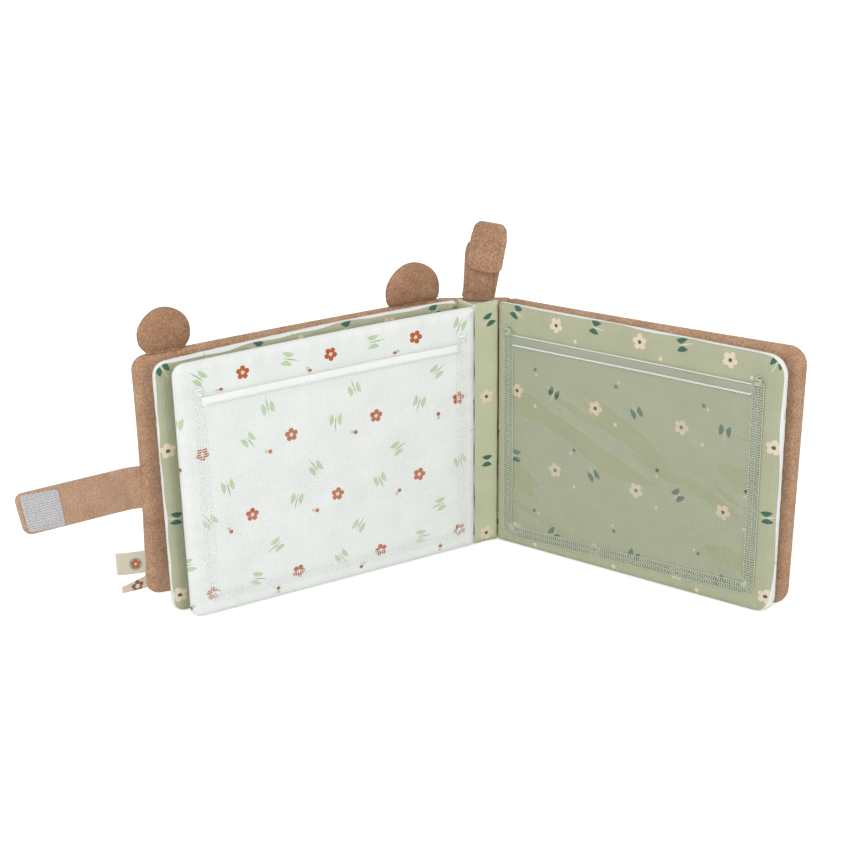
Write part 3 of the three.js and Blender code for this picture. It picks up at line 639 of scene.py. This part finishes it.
def border_path(pocket, pitch, radius=0.0075):
    """Places along the border's outer line, one each half pitch, with the direction into the pocket:
    down the root side, along the foot and up the fore side, with quarter circles between."""
    left, right, foot, top = pocket["root"], pocket["fore"], pocket["foot"], pocket["top"]
    side, base, arc = top - foot - radius, right - left - 2 * radius, math.pi / 2 * radius
    t = np.arange(0, 2 * side + base + 2 * arc, pitch / 2)
    first, second = (t - side) / radius, (t - side - arc - base) / radius
    legs = [t < side, t < side + arc, t < side + arc + base, t < side + 2 * arc + base]
    s = np.select(legs, [left + 0 * t, left + radius * (1 - np.cos(first)), left + radius + t - side - arc,
                         right - radius + radius * np.sin(second)], right)
    z = np.select(legs, [top - t, foot + radius * (1 - np.sin(first)), foot + 0 * t,
                         foot + radius * (1 - np.cos(second))], foot + radius + t - side - 2 * arc - base)
    into_s = np.select(legs, [1 + 0 * t, np.cos(first), 0 * t, -np.sin(second)], -1)
    into_z = np.select(legs, [0 * t, np.sin(first), 1 + 0 * t, np.cos(second)], 0)
    return s, z, into_s, into_z


def tack_path(middle, top, count=16):
    """The tangle of thread at the top of a border: a zigzag to both sides of its middle that climbs
    and narrows, with every turn moved by a draw. Returns places along, above and up the face."""
    turn = np.arange(count)
    drawn_z, drawn_s, drawn_n = np.random.default_rng(50).uniform(-1, 1, (3, count))
    half = 0.0030 - 0.0009 * np.clip(turn - 9, 0, 6) / 6 + 0.0009 * drawn_s
    z = top - 0.0030 + 0.00036 * turn + 0.0011 * drawn_z
    return middle + np.where(turn % 2 == 0, -half, half), 0.0011 + 0.0004 * drawn_n, z


pocket_looks = {
    "green": dict(film=film_finish("film_on_green", dye(202, 207, 200), 0.20, 0.02,
                                   (0.962, 0.966, 0.945, 1.0)),
                  hem=film_finish("hem_on_green", dye(190, 196, 184), 0.42, 0.30, (0.96, 0.965, 0.95, 1.0)),
                  thread=thread_finish("grey_green_thread", dye(174, 183, 158), dye(208, 214, 195)),
                  radius=0.00034, stand=0.0005, hem_top=0.1298),
    "white": dict(film=film_finish("film_on_white", dye(250, 252, 250), 0.08, 0.02, WHITE),
                  hem=film_finish("hem_on_white", dye(248, 250, 248), 0.86, 0.80, WHITE),
                  thread=thread_finish("white_thread", dye(246, 249, 246), dye(253, 254, 253)),
                  radius=0.00018, stand=0.0004, hem_top=0.1282),
}
hem_thread = thread_finish("hem_thread", dye(226, 230, 222), dye(246, 248, 244))
FILM_INSET, FILM_STAND, FILM_SLACK, SLACK_RUN = 0.0012, 0.00025, 0.0005, 0.02
LADDER, LADDER_LINES, LADDER_ARCH = 0.0014, (0.0001, 0.0032, 0.0064), 0.0001
HEM_LOW, HEM_HIGH, HEM_INSET, HEM_STAND, HEM_LAP = 0.1236, 0.1298, 0.0050, 0.0009, 0.0004
HEM_PITCH, HEM_ARCH = 0.0021, 0.00005
for leaf, facts in leaf_facts.items():
    pocket = facts["pocket"]
    root, fore = pocket["root"], pocket["fore"]
    for face, side_name, cloth in zip((1, -1), ("front", "back"), facts["cloths"]):
        name, look = f"{leaf}_{side_name}_pocket", pocket_looks[cloth]
        out = face * panel_place(np.zeros(3), LEAF_LEAN, facts["side"], 0.0, 1.0, 0.0)

        s, z = np.meshgrid(np.linspace(root + FILM_INSET, fore - FILM_INSET, 110),
                           np.linspace(pocket["foot"] + FILM_INSET, HEM_LOW + HEM_LAP, 84))
        free = np.clip(seam_distance(pocket, s, z) / SLACK_RUN, 0, 1)
        slack = free * free * (3 - 2 * free) * FILM_SLACK
        slack = slack * (1 + soft_waves(s * 0.7 + z, z, 70 + face, 0.1) * 1.6)
        laid = on_face(facts, face, s, FILM_STAND + slack, z)
        window = film_sheet(name + "_film", s, z, laid, out, look["film"])
        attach(window, leaf)
        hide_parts(name + "_window")

        step_s, step_z, into_s, into_z = border_path(pocket, LADDER)
        lines = [on_face(facts, face, step_s + into_s * inset, look["stand"], step_z + into_z * inset)
                 for inset in LADDER_LINES]
        tacks = [on_face(facts, face, *tack_path(middle, pocket["top"]))
                 for middle in (root + pocket["border"] / 2, fore - pocket["border"] / 2)]
        threads = [(near[:-1:2], far[1::2]) for near, far in zip(lines, lines[1:])]
        threads += [(line[:-2:2], line[2::2]) for line in lines]
        threads += [(tack[:-1], tack[1:]) for tack in tacks]
        tails, heads = (np.concatenate(ends) for ends in zip(*threads))
        border = stitch_rows(name + "_zigzag", tails, heads, out, look["radius"], LADDER_ARCH,
                             look["thread"])
        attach(border, leaf)
        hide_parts(name + "_border")

        s, z = np.meshgrid(np.linspace(root + HEM_INSET, fore - HEM_INSET, 80),
                           np.linspace(HEM_LOW - HEM_LAP, look["hem_top"], 8))
        hem = film_sheet(name + "_hem_fold", s, z, on_face(facts, face, s, HEM_STAND, z), out, look["hem"])
        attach(hem, leaf)
        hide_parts(name + "_hem")
        spots = np.arange(root + 0.0066, fore - 0.0086, HEM_PITCH)
        for row, over, tail_s, tail_z, head_s, head_z, radius in (
                ("hem_stitches", 0.0014, 0.0, HEM_LOW + 0.0002, 0.0025, HEM_LOW + 0.0010, 0.00046),
                ("hem_rim", 0.0011, -0.0006, HEM_HIGH, 0.0027, HEM_HIGH, 0.00032)):
            tails = on_face(facts, face, spots + tail_s, over, tail_z)
            heads = on_face(facts, face, spots + head_s, over, head_z)
            seam = stitch_rows(f"{name}_{row}", tails, heads, out, radius, HEM_ARCH, hem_thread)
            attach(seam, leaf)


# Gutter: one strip of the green print sewn down the inside of the spine. It comes forward beside
# the first and the last leaf, and the middle leaf hangs on its free edge.
def upright_cloth(name, path, heads, thickness, finishes, sway=ROOT_SWAY, foot=0.0008):
    """A standing sheet: a path on the floor raised from foot to a head that goes evenly from heads[0]
    to heads[1], swayed like the leaves' roots, with one finish towards its left and the other
    towards its right, half the thickness to either side."""
    ahead = path_ahead(path)
    left = np.stack([-ahead[:, 1], ahead[:, 0]], axis=1)
    level = np.linspace(0, 1, 60)[:, None]
    z = foot + (np.linspace(*heads, len(path)) - foot) * level
    ripple = 0.0002 * np.sin(z / 0.0041)
    sheets = []
    for side in (1, -1):
        floor = path + left * side * thickness / 2
        x, y = (floor[:, axis] + left[:, axis] * ripple + sway[axis] * level for axis in (0, 1))
        sheets.append(np.stack([x, y, z], axis=-1))
    flat = np.stack(np.broadcast_arrays(path_length(path), z), axis=-1) * 1000 + np.array([9.0, 6.0])
    return two_sided(name, *sheets, flat, finishes)


def rounded_path(corners, radius, count=7):
    """A path through corners with each turn drawn as a quadratic curve that starts and ends one
    radius from it."""
    corners = np.asarray(corners, float)
    t = np.linspace(0, 1, count)[:, None]
    turns = []
    for before, corner, after in zip(corners, corners[1:], corners[2:]):
        start = corner + (before - corner) / np.linalg.norm(before - corner) * radius
        end = corner + (after - corner) / np.linalg.norm(after - corner) * radius
        turns.append((1 - t) ** 2 * start + 2 * t * (1 - t) * corner + t ** 2 * end)
    return np.concatenate([corners[:1], *turns, corners[-1:]])


# A lighter copy of the green print for the gutter cloth: painted light that makes up for the shade between
# the leaves.
lit_gutter_jersey = jersey_finish("gutter_print_jersey_painted_light", dye(200, 204, 172), GREEN_PITCH, green_print)
first_root, last_root, middle_root = (
    fold_at[name][:2] for name in ("first_leaf_fold", "last_leaf_fold", "middle_leaf_turn"))
base_y = spine_mid[1] - 0.0040
base_path = rounded_path([first_root + [0.0, 0.0006], [first_root[0], base_y], [last_root[0], base_y],
                          last_root + [0.0, 0.0006]], 0.0015)
gutter_base = upright_cloth("gutter_base", base_path, (0.1455, 0.1455), 0.0009,
                            [white_jersey, lit_gutter_jersey], (0.0, 0.0))
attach(gutter_base, "spine")
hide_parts("gutter_strip")

bow = np.linspace(0, 1, 12)[:, None]
free_path = (last_root + [-0.0008, -0.0004] + bow * (middle_root + [0.0012, 0.0006] - last_root)
             + 4 * bow * (1 - bow) * np.array([0.0006, 0.0010]))
gutter_cloth = upright_cloth("gutter_cloth", free_path, (0.1490, 0.1486), 0.0010,
                             [lit_gutter_jersey, white_jersey])
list(last_root)
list(middle_root)
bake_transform(gutter_cloth)

along = np.linspace(1, 0, 9)[:, None]
edge_path = first_root + [0.0009, -0.0006] + along * (middle_root - first_root + [-0.0012, 0.0008])
leaf_edge = upright_cloth("middle_leaf_edge_cloth", edge_path, (0.1482, 0.1500), 0.0012,
                          [lit_gutter_jersey, white_jersey])
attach(leaf_edge, "first_leaf")
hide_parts("middle_leaf_edge")


# Ears: two rounds of plush sewn face to face, turned and lightly stuffed. Their open lower edge is
# caught in the front cover's top seam, which draws it in.
front_fold, front_lean = fold_at["front_cover_fold"], cover_facts["front_cover"]["lean"]
# A darker copy of the plush for the ears: painted shade, as the ears take less light than the covers.
shaded_ear_plush = plush_finish("ear_plush_painted_shade", dye(140, 99, 73), dye(196, 156, 125))


def ear_piece(name, s_mid, radius, centre, seam, half=0.0036, seam_half=0.0022):
    """A stuffed round on the cover's middle plane. At a turn a its rim is one radius out, or as far
    as the seam below, where the neck is drawn in; a share r of the way out it is half·(1 - r^2.6)^0.5
    thick to either side, never less at the neck than the seam is, with gathers along the seam."""
    share, turn = np.meshgrid(np.sin(np.linspace(0, math.pi / 2, 16)),
                              np.linspace(0, 2 * math.pi, 96, endpoint=False))
    down = -np.sin(turn)
    rim = np.minimum(radius, (centre - seam) / np.maximum(down, 1e-6))
    rim = rim * (1 + 0.008 * np.sin(5 * turn + 0.6))
    low = np.clip((down - 0.25) / 0.45, 0, 1)
    neck = 1 - 0.12 * low * low * (3 - 2 * low)
    s = s_mid + share * rim * np.cos(turn) * neck
    z = centre - share * rim * down
    sewn = seam_half * np.clip((down - 0.5) / 0.12, 0, 1) * np.clip(share * 2 - 0.9, 0, 1)
    gathers = 0.0004 * np.exp(-((z - seam) / 0.0045) ** 2) * np.sin((s - s_mid) / 0.0012)
    fill = np.maximum(half * np.sqrt(np.maximum(1 - share ** 2.6, 0)), sewn) + gathers
    fill = fill + 0.0002 * np.sin(4 * turn) * share * (1 - share)
    sheets = [panel_place(front_fold, front_lean, -1, s, side * fill, z) for side in (1, -1)]
    rows, columns = s.shape
    quads = grid_quads(rows + 1, columns) % s.size
    rim_line = np.arange(rows) * columns + columns - 1
    after = np.roll(rim_line, -1)
    wall = np.stack([rim_line, after, after + s.size, rim_line + s.size], axis=1)
    faces = np.concatenate([quads, quads[:, ::-1] + s.size, wall])
    return make_piece(name, np.stack(sheets), faces, [shaded_ear_plush])


for ear, s_mid, radius, centre, seam in (("spine_ear", 0.0150, 0.0171, 0.1533, 0.1464),
                                         ("fore_edge_ear", 0.1644, 0.0150, 0.1538, 0.1444)):
    piece = ear_piece(ear + "_round", s_mid, radius, centre, seam)
    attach(piece, ear)
    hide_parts(ear)


# Closing strap: a tube of plush pressed flat, sewn into the front cover's fore edge. It folds where
# it leaves the cover, and on the closed book it wraps round to the back; a square of hook tape is sewn on
# its end.
STRAP_ROOT, STRAP_LONG, STRAP_WIDE, STRAP_HALF, STRAP_MID = 0.1832, 0.0745, 0.0245, 0.0012, 0.0699
STRAP_FOLD, STRAP_WRAP, STRAP_TURN, STRAP_JOIN, STRAP_LAP = 0.0086, 0.05735, 0.004, 0.0350, 0.0025
STRAP_BEND, STRAP_RISE, STRAP_SLANT = math.radians(14.0), 0.0051, math.radians(9.5)
strap_u = np.linspace(-0.004, 0.090, 377)
strap_share = np.clip((strap_u - STRAP_FOLD + STRAP_TURN) / (2 * STRAP_TURN), 0, 1)
strap_lean = math.radians(front_lean) + STRAP_BEND * strap_share ** 2 * (3 - 2 * strap_share)
strap_start = panel_place(front_fold, front_lean, -1, STRAP_ROOT + strap_u[0], 0.0, 0.0)
strap_x = strap_start[0] - np.cumsum(np.cos(strap_lean)) * (strap_u[1] - strap_u[0])
strap_y = strap_start[1] - np.cumsum(np.sin(strap_lean)) * (strap_u[1] - strap_u[0])


def strap_place(u, n, w):
    """A point of the strap, u along it from its root, n towards the reader and w up across it. Its
    line turns 14 degrees in the 8 mm round the fold; it rises in proportion to u, and its cross
    threads lean outwards more and more towards the tip."""
    lean_out = STRAP_SLANT * np.clip(u / STRAP_LONG, 0, 1)
    along = u + w * np.sin(lean_out)
    turn = np.interp(along, strap_u, strap_lean)
    x = np.interp(along, strap_u, strap_x) + n * np.sin(turn)
    y = np.interp(along, strap_u, strap_y) - n * np.cos(turn)
    z = STRAP_MID + STRAP_RISE * along / STRAP_LONG + w * np.cos(lean_out)
    return np.stack(np.broadcast_arrays(x, y, z), axis=-1)


def strap_point(u):
    """The place on the strap's middle line at u, as a plain tuple."""
    return tuple(strap_place(np.array(u), 0.0, 0.0))


# A lighter copy of the plush for the strap: painted light, as the strap faces the lamps more than the
# covers do.
lit_strap_plush = plush_finish("strap_plush_painted_light", dye(172, 133, 105), dye(214, 178, 151))
for part, start, end, corner, bodies, bend_at, replaced in (
        ("near", 0.0, STRAP_JOIN + STRAP_LAP, STRAP_HALF, ("front_cover", "closure_band"), STRAP_FOLD,
         ("closure_strap_root", "closure_strap_band")),
        ("far", STRAP_JOIN, STRAP_LONG, 0.005, ("closure_band", "closure_end"), STRAP_WRAP,
         ("closure_strap_end",))):
    cut = dict(start=start, reach=end, foot=-STRAP_WIDE / 2, head=STRAP_WIDE / 2, corner=corner,
               root_corner=STRAP_HALF, half=STRAP_HALF, edge=STRAP_HALF, crown=0.0002, wave=0.0002,
               pucker=0.00012)
    piece = padded_panel("closure_strap_" + part, cut, strap_place, lambda s, z: pad_rise(cut, s, z, 35),
                         lambda s, z: pad_rise(cut, s, z, 36), [lit_strap_plush], (40, 26))
    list(bodies)
    strap_point(bend_at - STRAP_TURN)
    strap_point(bend_at + STRAP_TURN)
    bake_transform(piece)
    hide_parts(*replaced)


def tape_finish(name, shade, light, pitch):
    """Touch tape: rows of small hooks or loops one pitch apart that zigzag by 0.6 of a pitch, broken up
    by a fine noise, as light and bump."""
    finish = Finish(name, Roughness=0.7, Sheen_Weight=0.15)
    place = finish.node("UVMap", uv_map="cloth")
    x, y, _ = finish.parts(place)
    zigzag = finish.sum("MULTIPLY_ADD", finish.sum("PINGPONG", x, 0.9 * pitch), 0.7, y)
    fuzz = finish.noise(place, 1.5, 2.0)
    row = finish.sum("MULTIPLY_ADD", fuzz, 0.7 * pitch, zigzag)
    wave = finish.sum("SINE", finish.sum("MULTIPLY", row, ALL_ROUND / pitch))
    stand = finish.sum("MULTIPLY_ADD", wave, 0.5, fuzz)
    return finish.made_up(finish.tint(finish.ramp(stand, 0.0, 0.9), shade, light), stand, 0.6, 0.0005)


def tape_patch(name, place, width, height, thickness, finish, seam=0.0018):
    """A square of tape with rounded corners: a rounded cut as a thin pad, flat on its back, and drawn
    in along the seam inside its edge."""
    cut = dict(start=-width / 2, reach=width / 2, foot=-height / 2, head=height / 2, corner=0.002,
               root_corner=0.002, edge=0.0008)
    s, z = cut_grid(cut, 16, 16)
    depth = depth_inside(cut, s, z)
    top = thickness * (0.4 + 0.6 * np.sqrt(1 - (1 - np.clip(depth / cut["edge"], 0, 1)) ** 2))
    sewn = 0.0003 * np.exp(-((depth - seam) / 0.0005) ** 2)
    return two_sided(name, place(s, 0 * s, z), place(s, top - sewn, z), np.stack([s, z], axis=-1) * 1000,
                     [finish])


def patch_stitches(name, place, width, height, over, finish, seam=0.0018, pitch=0.0026, stitch=0.0019):
    """A row of stitches one seam's width inside a patch's edge, one pitch from each to the next."""
    half_s, half_z = width / 2 - seam, height / 2 - seam
    t = np.arange(-1, 1, pitch / half_s)
    lines = []
    for e in (t, t + stitch / half_s):
        s = np.concatenate([e, 0 * e + 1, -e, 0 * e - 1]) * half_s
        z = np.concatenate([0 * e - 1, e, 0 * e + 1, -e]) * half_z
        lines.append(place(np.clip(s, -half_s, half_s), over, np.clip(z, -half_z, half_z)))
    middle = np.zeros(1)
    out = place(middle, middle + 1, middle) - place(middle, middle, middle)
    return stitch_rows(name, *lines, out, 0.00024, 0.0001, finish)


hook_tape = tape_finish("hook_tape", dye(172, 169, 173), dye(226, 224, 226), 1.5)
loop_tape = tape_finish("loop_tape", dye(150, 128, 112), dye(196, 176, 160), 1.1)
tape_thread = thread_finish("tape_thread", dye(190, 187, 189), dye(228, 226, 228))
PATCH, PATCH_THICK, PATCH_SEWN = 0.022, 0.0010, 0.0009
HOOK_AT, HOOK_SKEW, LOOP_AT, LOOP_SUNK = 0.0612, 0.04, 0.169, 0.0001


def hook_place(s, n, z):
    """A point of the hook patch, sewn a little askew on the reader's side of the strap's end."""
    return strap_place(HOOK_AT + s, STRAP_HALF + n, z + HOOK_SKEW * s)


def loop_place(s, n, z):
    """A point of the loop patch, on the outside of the back cover."""
    rise = pad_rise(cover_facts["back_cover"]["cut"], LOOP_AT + s, STRAP_MID + z, 22)
    return cover_facts["back_cover"]["place"](LOOP_AT + s, -rise + LOOP_SUNK - n, STRAP_MID + z)


for patch, place, finish in (("closure_hook_patch", hook_place, hook_tape),
                             ("closure_loop_patch", loop_place, loop_tape)):
    piece = tape_patch(patch + "_tape", place, PATCH, PATCH, PATCH_THICK, finish)
    sewing = patch_stitches(patch + "_stitches", place, PATCH, PATCH, PATCH_SEWN, tape_thread)
    for sewn_on in (piece, sewing):
        if patch == "closure_hook_patch":
            strap_point(STRAP_WRAP - STRAP_TURN)
            strap_point(STRAP_WRAP + STRAP_TURN)
            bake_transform(sewn_on)
        else:
            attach(sewn_on, "back_cover")
    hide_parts(patch)


# Ribbon tags: two short folded ends of woven ribbon, caught in the front cover's fore edge seam
# beside the strap. The lower one droops.
def ribbon_finish(name, shade, light, motif):
    """Woven ribbon: ribs 0.5 mm apart across its length, and one small printed motif on its middle."""
    finish = Finish(name, Roughness=0.6, Sheen_Weight=0.1)
    place = finish.node("UVMap", uv_map="cloth")
    x, y, _ = finish.parts(place)
    x, y = finish.sum("ADD", x, 0.6), finish.sum("SUBTRACT", y, 8.2)
    ribs = finish.bands(place, "Y", 0.62, 0.3)
    colour = finish.tint(ribs, shade, light)
    for shape, ink, sizes in motif:
        colour = finish.tint(inked(finish, shape(finish, x, y, *sizes)), colour, ink)
    return finish.made_up(colour, ribs, 0.4, 0.0003)


beige_ribbon = ribbon_finish("beige_ribbon", dye(208, 202, 178), dye(228, 223, 202), [
    (dot_shape, dye(152, 168, 146), (3.7,)), (blossom_shape, rust, (2.9,)), (dot_shape, cream, (0.8,))])
rose_ribbon = ribbon_finish("rose_ribbon", dye(206, 188, 170), dye(228, 212, 196), [
    (blossom_shape, dye(132, 92, 66), (3.6,)), (dot_shape, cream, (1.3,))])
TAG_ROOT, RIBBON = 0.1836, 0.0009
tag_out = panel_place(np.zeros(3), front_lean, -1, 0.0, 1.0, 0.0)
for tag, middle, width, narrowing, long, droop, ribbon in (
        ("upper_tag", 0.0257, 0.0132, 0.0, 0.0188, -0.0022, beige_ribbon),
        ("lower_tag", 0.0138, 0.0080, 0.0042, 0.0168, 0.0020, rose_ribbon)):
    t = np.linspace(0, 1, 16)
    path = panel_place(front_fold, front_lean, -1, TAG_ROOT + t * long, 0.0006 * np.sin(t * 2.4),
                       middle - droop * t ** 1.3)
    strip = band(tag + "_ribbon", path, (0, 0, 1), tag_out, width - narrowing * t,
                 RIBBON * (1 + 0.5 * t ** 6), [ribbon], turns=20)
    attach(strip, tag)
    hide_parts(tag)


# Hanging loop: three pieces of flat plush strip on the spine's head. The rear strap rises from the
# spine and arches over to the flap, whose hook patch closes on the loop patch of the front tab.
LOOP_STAND, TAB_STAND = (math.radians(11.0), 0.0030), (math.radians(4.0), 0.0023)
hanger_origin = np.array([spine_mid[0], spine_mid[1], 0.1496844])
loop_plush = plush_finish("loop_brown_plush", dye(145, 105, 79), dye(203, 164, 134))


def hanger_place(x, y, z, stand):
    """A point of the hanging loop. stand is how far a strip leans to the reader's right, and how far
    aside it stands."""
    lean, aside = stand
    x, y, z = np.broadcast_arrays(x, y, z)
    over = x * math.cos(lean) + z * math.sin(lean) + aside
    up = z * math.cos(lean) - x * math.sin(lean)
    return np.stack([over, y, up], axis=-1) + hanger_origin


def smooth_path(knots, count):
    """A path through knots: each span is the Catmull-Rom cubic of its two ends and their neighbours."""
    knots = np.asarray(knots, float)
    padded = np.concatenate([2 * knots[:1] - knots[1:2], knots, 2 * knots[-1:] - knots[-2:-1]])
    t = np.linspace(0, len(knots) - 1.0001, count)
    first = t.astype(int)
    u = (t - first)[:, None]
    a, b, c, d = (padded[first + k] for k in range(4))
    curved = (2 * a - 5 * b + 4 * c - d) * u ** 2 + (3 * b - a - 3 * c + d) * u ** 3
    return 0.5 * (2 * b + (c - a) * u + curved)


def hanger_strip(name, knots, width, count=40, tip=0.0, stand=LOOP_STAND, top=0.0418, thickness=0.0021):
    """A strip of the loop: the flat oval carried along a path in the loop's upright plane, with knots in
    millimetres. It draws in by up to a quarter round the top of the loop, and a tip narrows on round
    corners."""
    line = smooth_path(knots, count) / 1000
    ahead = path_ahead(line)
    path = hanger_place(0.0, line[:, 0], line[:, 1], stand)
    ground = hanger_place(0.0, 0.0, 0.0, stand)
    square = hanger_place(0.0, ahead[:, 1], -ahead[:, 0], stand) - ground
    wide = hanger_place(1.0, 0.0, 0.0, stand) - ground
    left = path_length(line)[-1] * (1 - np.linspace(0, 1, count))
    corner = 1 - np.clip(left / 0.0045, 0, 1)
    narrow = 1 - tip * 0.42 * (1 - np.sqrt(1 - corner ** 2))
    narrow = narrow * (1 - 0.26 * np.exp(-((line[:, 1] - top) / 0.0032) ** 2))
    return band(name, path, wide, square, width * narrow, thickness, [loop_plush])


rear = hanger_strip("hanger_rear_strip", [(1.6, -3.6), (2.3, 5.74), (5.6, 16.4), (6.4, 27.06), (4.8, 36.4),
                                          (0, 41.2), (-5.0, 39.4), (-6.6, 37.0), (-6.7, 34.85)],
                    np.linspace(0.0186, 0.0204, 60), 60)
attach(rear, "spine")
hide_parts("hanger_rear_strap")
tab = hanger_strip("hanger_tab_strip", [(-1.6, -3.6), (-2.6, 5.0), (-3.0, 10.0), (-3.0, 32.0)], 0.0166,
                   tip=1.0, stand=TAB_STAND)
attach(tab, "spine")
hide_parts("hanger_tab")
flap = hanger_strip("hanger_flap_strip", [(-6.7, 35.6), (-6.7, 30.0), (-6.8, 22.0), (-6.9, 15.4)], 0.0204,
                    tip=1.0)
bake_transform(flap)
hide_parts("hanger_flap")

LOOP_PATCH_UP, LOOP_PATCH_SIZE = 0.0235, (0.014, 0.012, 0.0007)
for patch, y, out, body, finish, stand in (
        ("hanger_loop_patch", -0.0040, -1, "spine", loop_tape, TAB_STAND),
        ("hanger_hook_patch", -0.0057, 1, "hanger_flap", hook_tape, LOOP_STAND)):
    piece = tape_patch(patch + "_tape",
                       lambda s, n, z: hanger_place(s, y + out * n, LOOP_PATCH_UP + z, stand),
                       *LOOP_PATCH_SIZE, finish)
    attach(piece, body)
    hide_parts(patch)

plush_thread = thread_finish("plush_thread", dye(150, 110, 85), dye(180, 139, 112))
STITCH_PITCH, STITCH = 0.0026, 0.0019
for name, body, y, low, high, half, stand in (
        ("hanger_flap_stitches", "hanger_flap", -0.0079, 0.0180, 0.0330, 0.0068, LOOP_STAND),
        ("hanger_tab_stitches", "spine", -0.0042, 0.0020, 0.0100, 0.0058, TAB_STAND)):
    z = np.arange(low, high, STITCH_PITCH)
    x = np.arange(-half + 0.0004, half - 0.0008, STITCH_PITCH)
    tails, heads = (np.concatenate([hanger_place(-half, y, z + on, stand),
                                    hanger_place(half, y, z + on, stand),
                                    hanger_place(x + on, y, low, stand)]) for on in (0.0, STITCH))
    rows = stitch_rows(name, tails, heads, [0.0, -1.0, 0.0], 0.00026, 0.00005, plush_thread)
    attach(rows, body)


# Floor and light: a white sweep lit by the sky and three soft lamps. To the camera the floor adds a
# little light of its own, so that it ends up white and still keeps the album's shadow.
FLOOR_HALF, FLOOR_LEVEL, FLOOR_GLOW, SKY_LIGHT = 60, -0.0002, 0.6, 0.64
floor_mesh = bpy.data.meshes.new("floor")
floor_mesh.from_pydata([(x * FLOOR_HALF, y * FLOOR_HALF, FLOOR_LEVEL)
                        for x, y in ((-1, -1), (1, -1), (1, 1), (-1, 1))], [], [(0, 1, 2, 3)])
floor = in_scene("floor", floor_mesh)
paper = Finish("white_paper", Base_Color=(0.86, 0.86, 0.86, 1.0), Roughness=0.9, Emission_Color=WHITE)
ray = paper.node("LightPath").node.outputs
mirrored = paper.sum("MAXIMUM", ray["Is Glossy Ray"], ray["Is Transmission Ray"])
seen = paper.sum("MAXIMUM", ray["Is Camera Ray"], mirrored)
paper.tree.links.new(paper.sum("MULTIPLY", seen, FLOOR_GLOW), paper.shader.inputs["Emission Strength"])
floor_mesh.materials.append(paper.material)

sky = bpy.data.worlds.new("sky")
bpy.context.scene.world = sky
sky.use_nodes = True
sky.node_tree.nodes["Background"].inputs[0].default_value = WHITE
sky.node_tree.nodes["Background"].inputs[1].default_value = SKY_LIGHT


def soft_lamp(name, place, size, power, aim=(0.0, 0.0, 0.07)):
    """A square lamp at a place, turned to face aim."""
    lamp = bpy.data.lights.new(name, "AREA")
    lamp.size, lamp.energy = size, power
    held = in_scene(name, lamp)
    held.location = place
    away = np.array(place) - np.array(aim)
    held.rotation_euler = (math.acos(away[2] / np.linalg.norm(away)), 0, math.atan2(away[0], -away[1]))


soft_lamp("key_lamp", (-0.9, -1.3, 1.5), 1.1, 8.0)
soft_lamp("fill_lamp", (1.3, -1.2, 1.1), 1.2, 5.0)
soft_lamp("front_lamp", (0.1, -1.9, 0.8), 1.0, 8.4)


# Camera: the reader stands a little to the right of the gutter and looks down at the spread. The
# length of the lens is known in pixels of a picture, and goes to millimetres of the sensor.
YAW, PITCH, ROLL = math.radians(-4.420), math.radians(20.530), math.radians(-1.702)
PICTURE_PX, LENS_PX, SENSOR_MM = 850, 1783.90, 36.0
READER_FROM_SPINE = [0.045767, -0.981469, 0.43796]
ahead = np.array([math.sin(YAW) * math.cos(PITCH), math.cos(YAW) * math.cos(PITCH), -math.sin(PITCH)])
right = np.array([math.cos(YAW), -math.sin(YAW), 0.0])
above = np.cross(right, ahead)
lens = bpy.data.cameras.new("reader")
lens.sensor_width, lens.lens, lens.clip_start = SENSOR_MM, LENS_PX / PICTURE_PX * SENSOR_MM, 0.01
reader = in_scene("reader", lens)
turned = np.eye(4)
turned[:3, 0] = math.cos(ROLL) * right + math.sin(ROLL) * above
turned[:3, 1] = math.cos(ROLL) * above - math.sin(ROLL) * right
turned[:3, 2] = -ahead
turned[:3, 3] = spine_mid * [1, 1, 0] + READER_FROM_SPINE
reader.matrix_world = turned.T
bpy.context.scene.camera = reader
bpy.context.scene.view_settings.view_transform = "Standard"
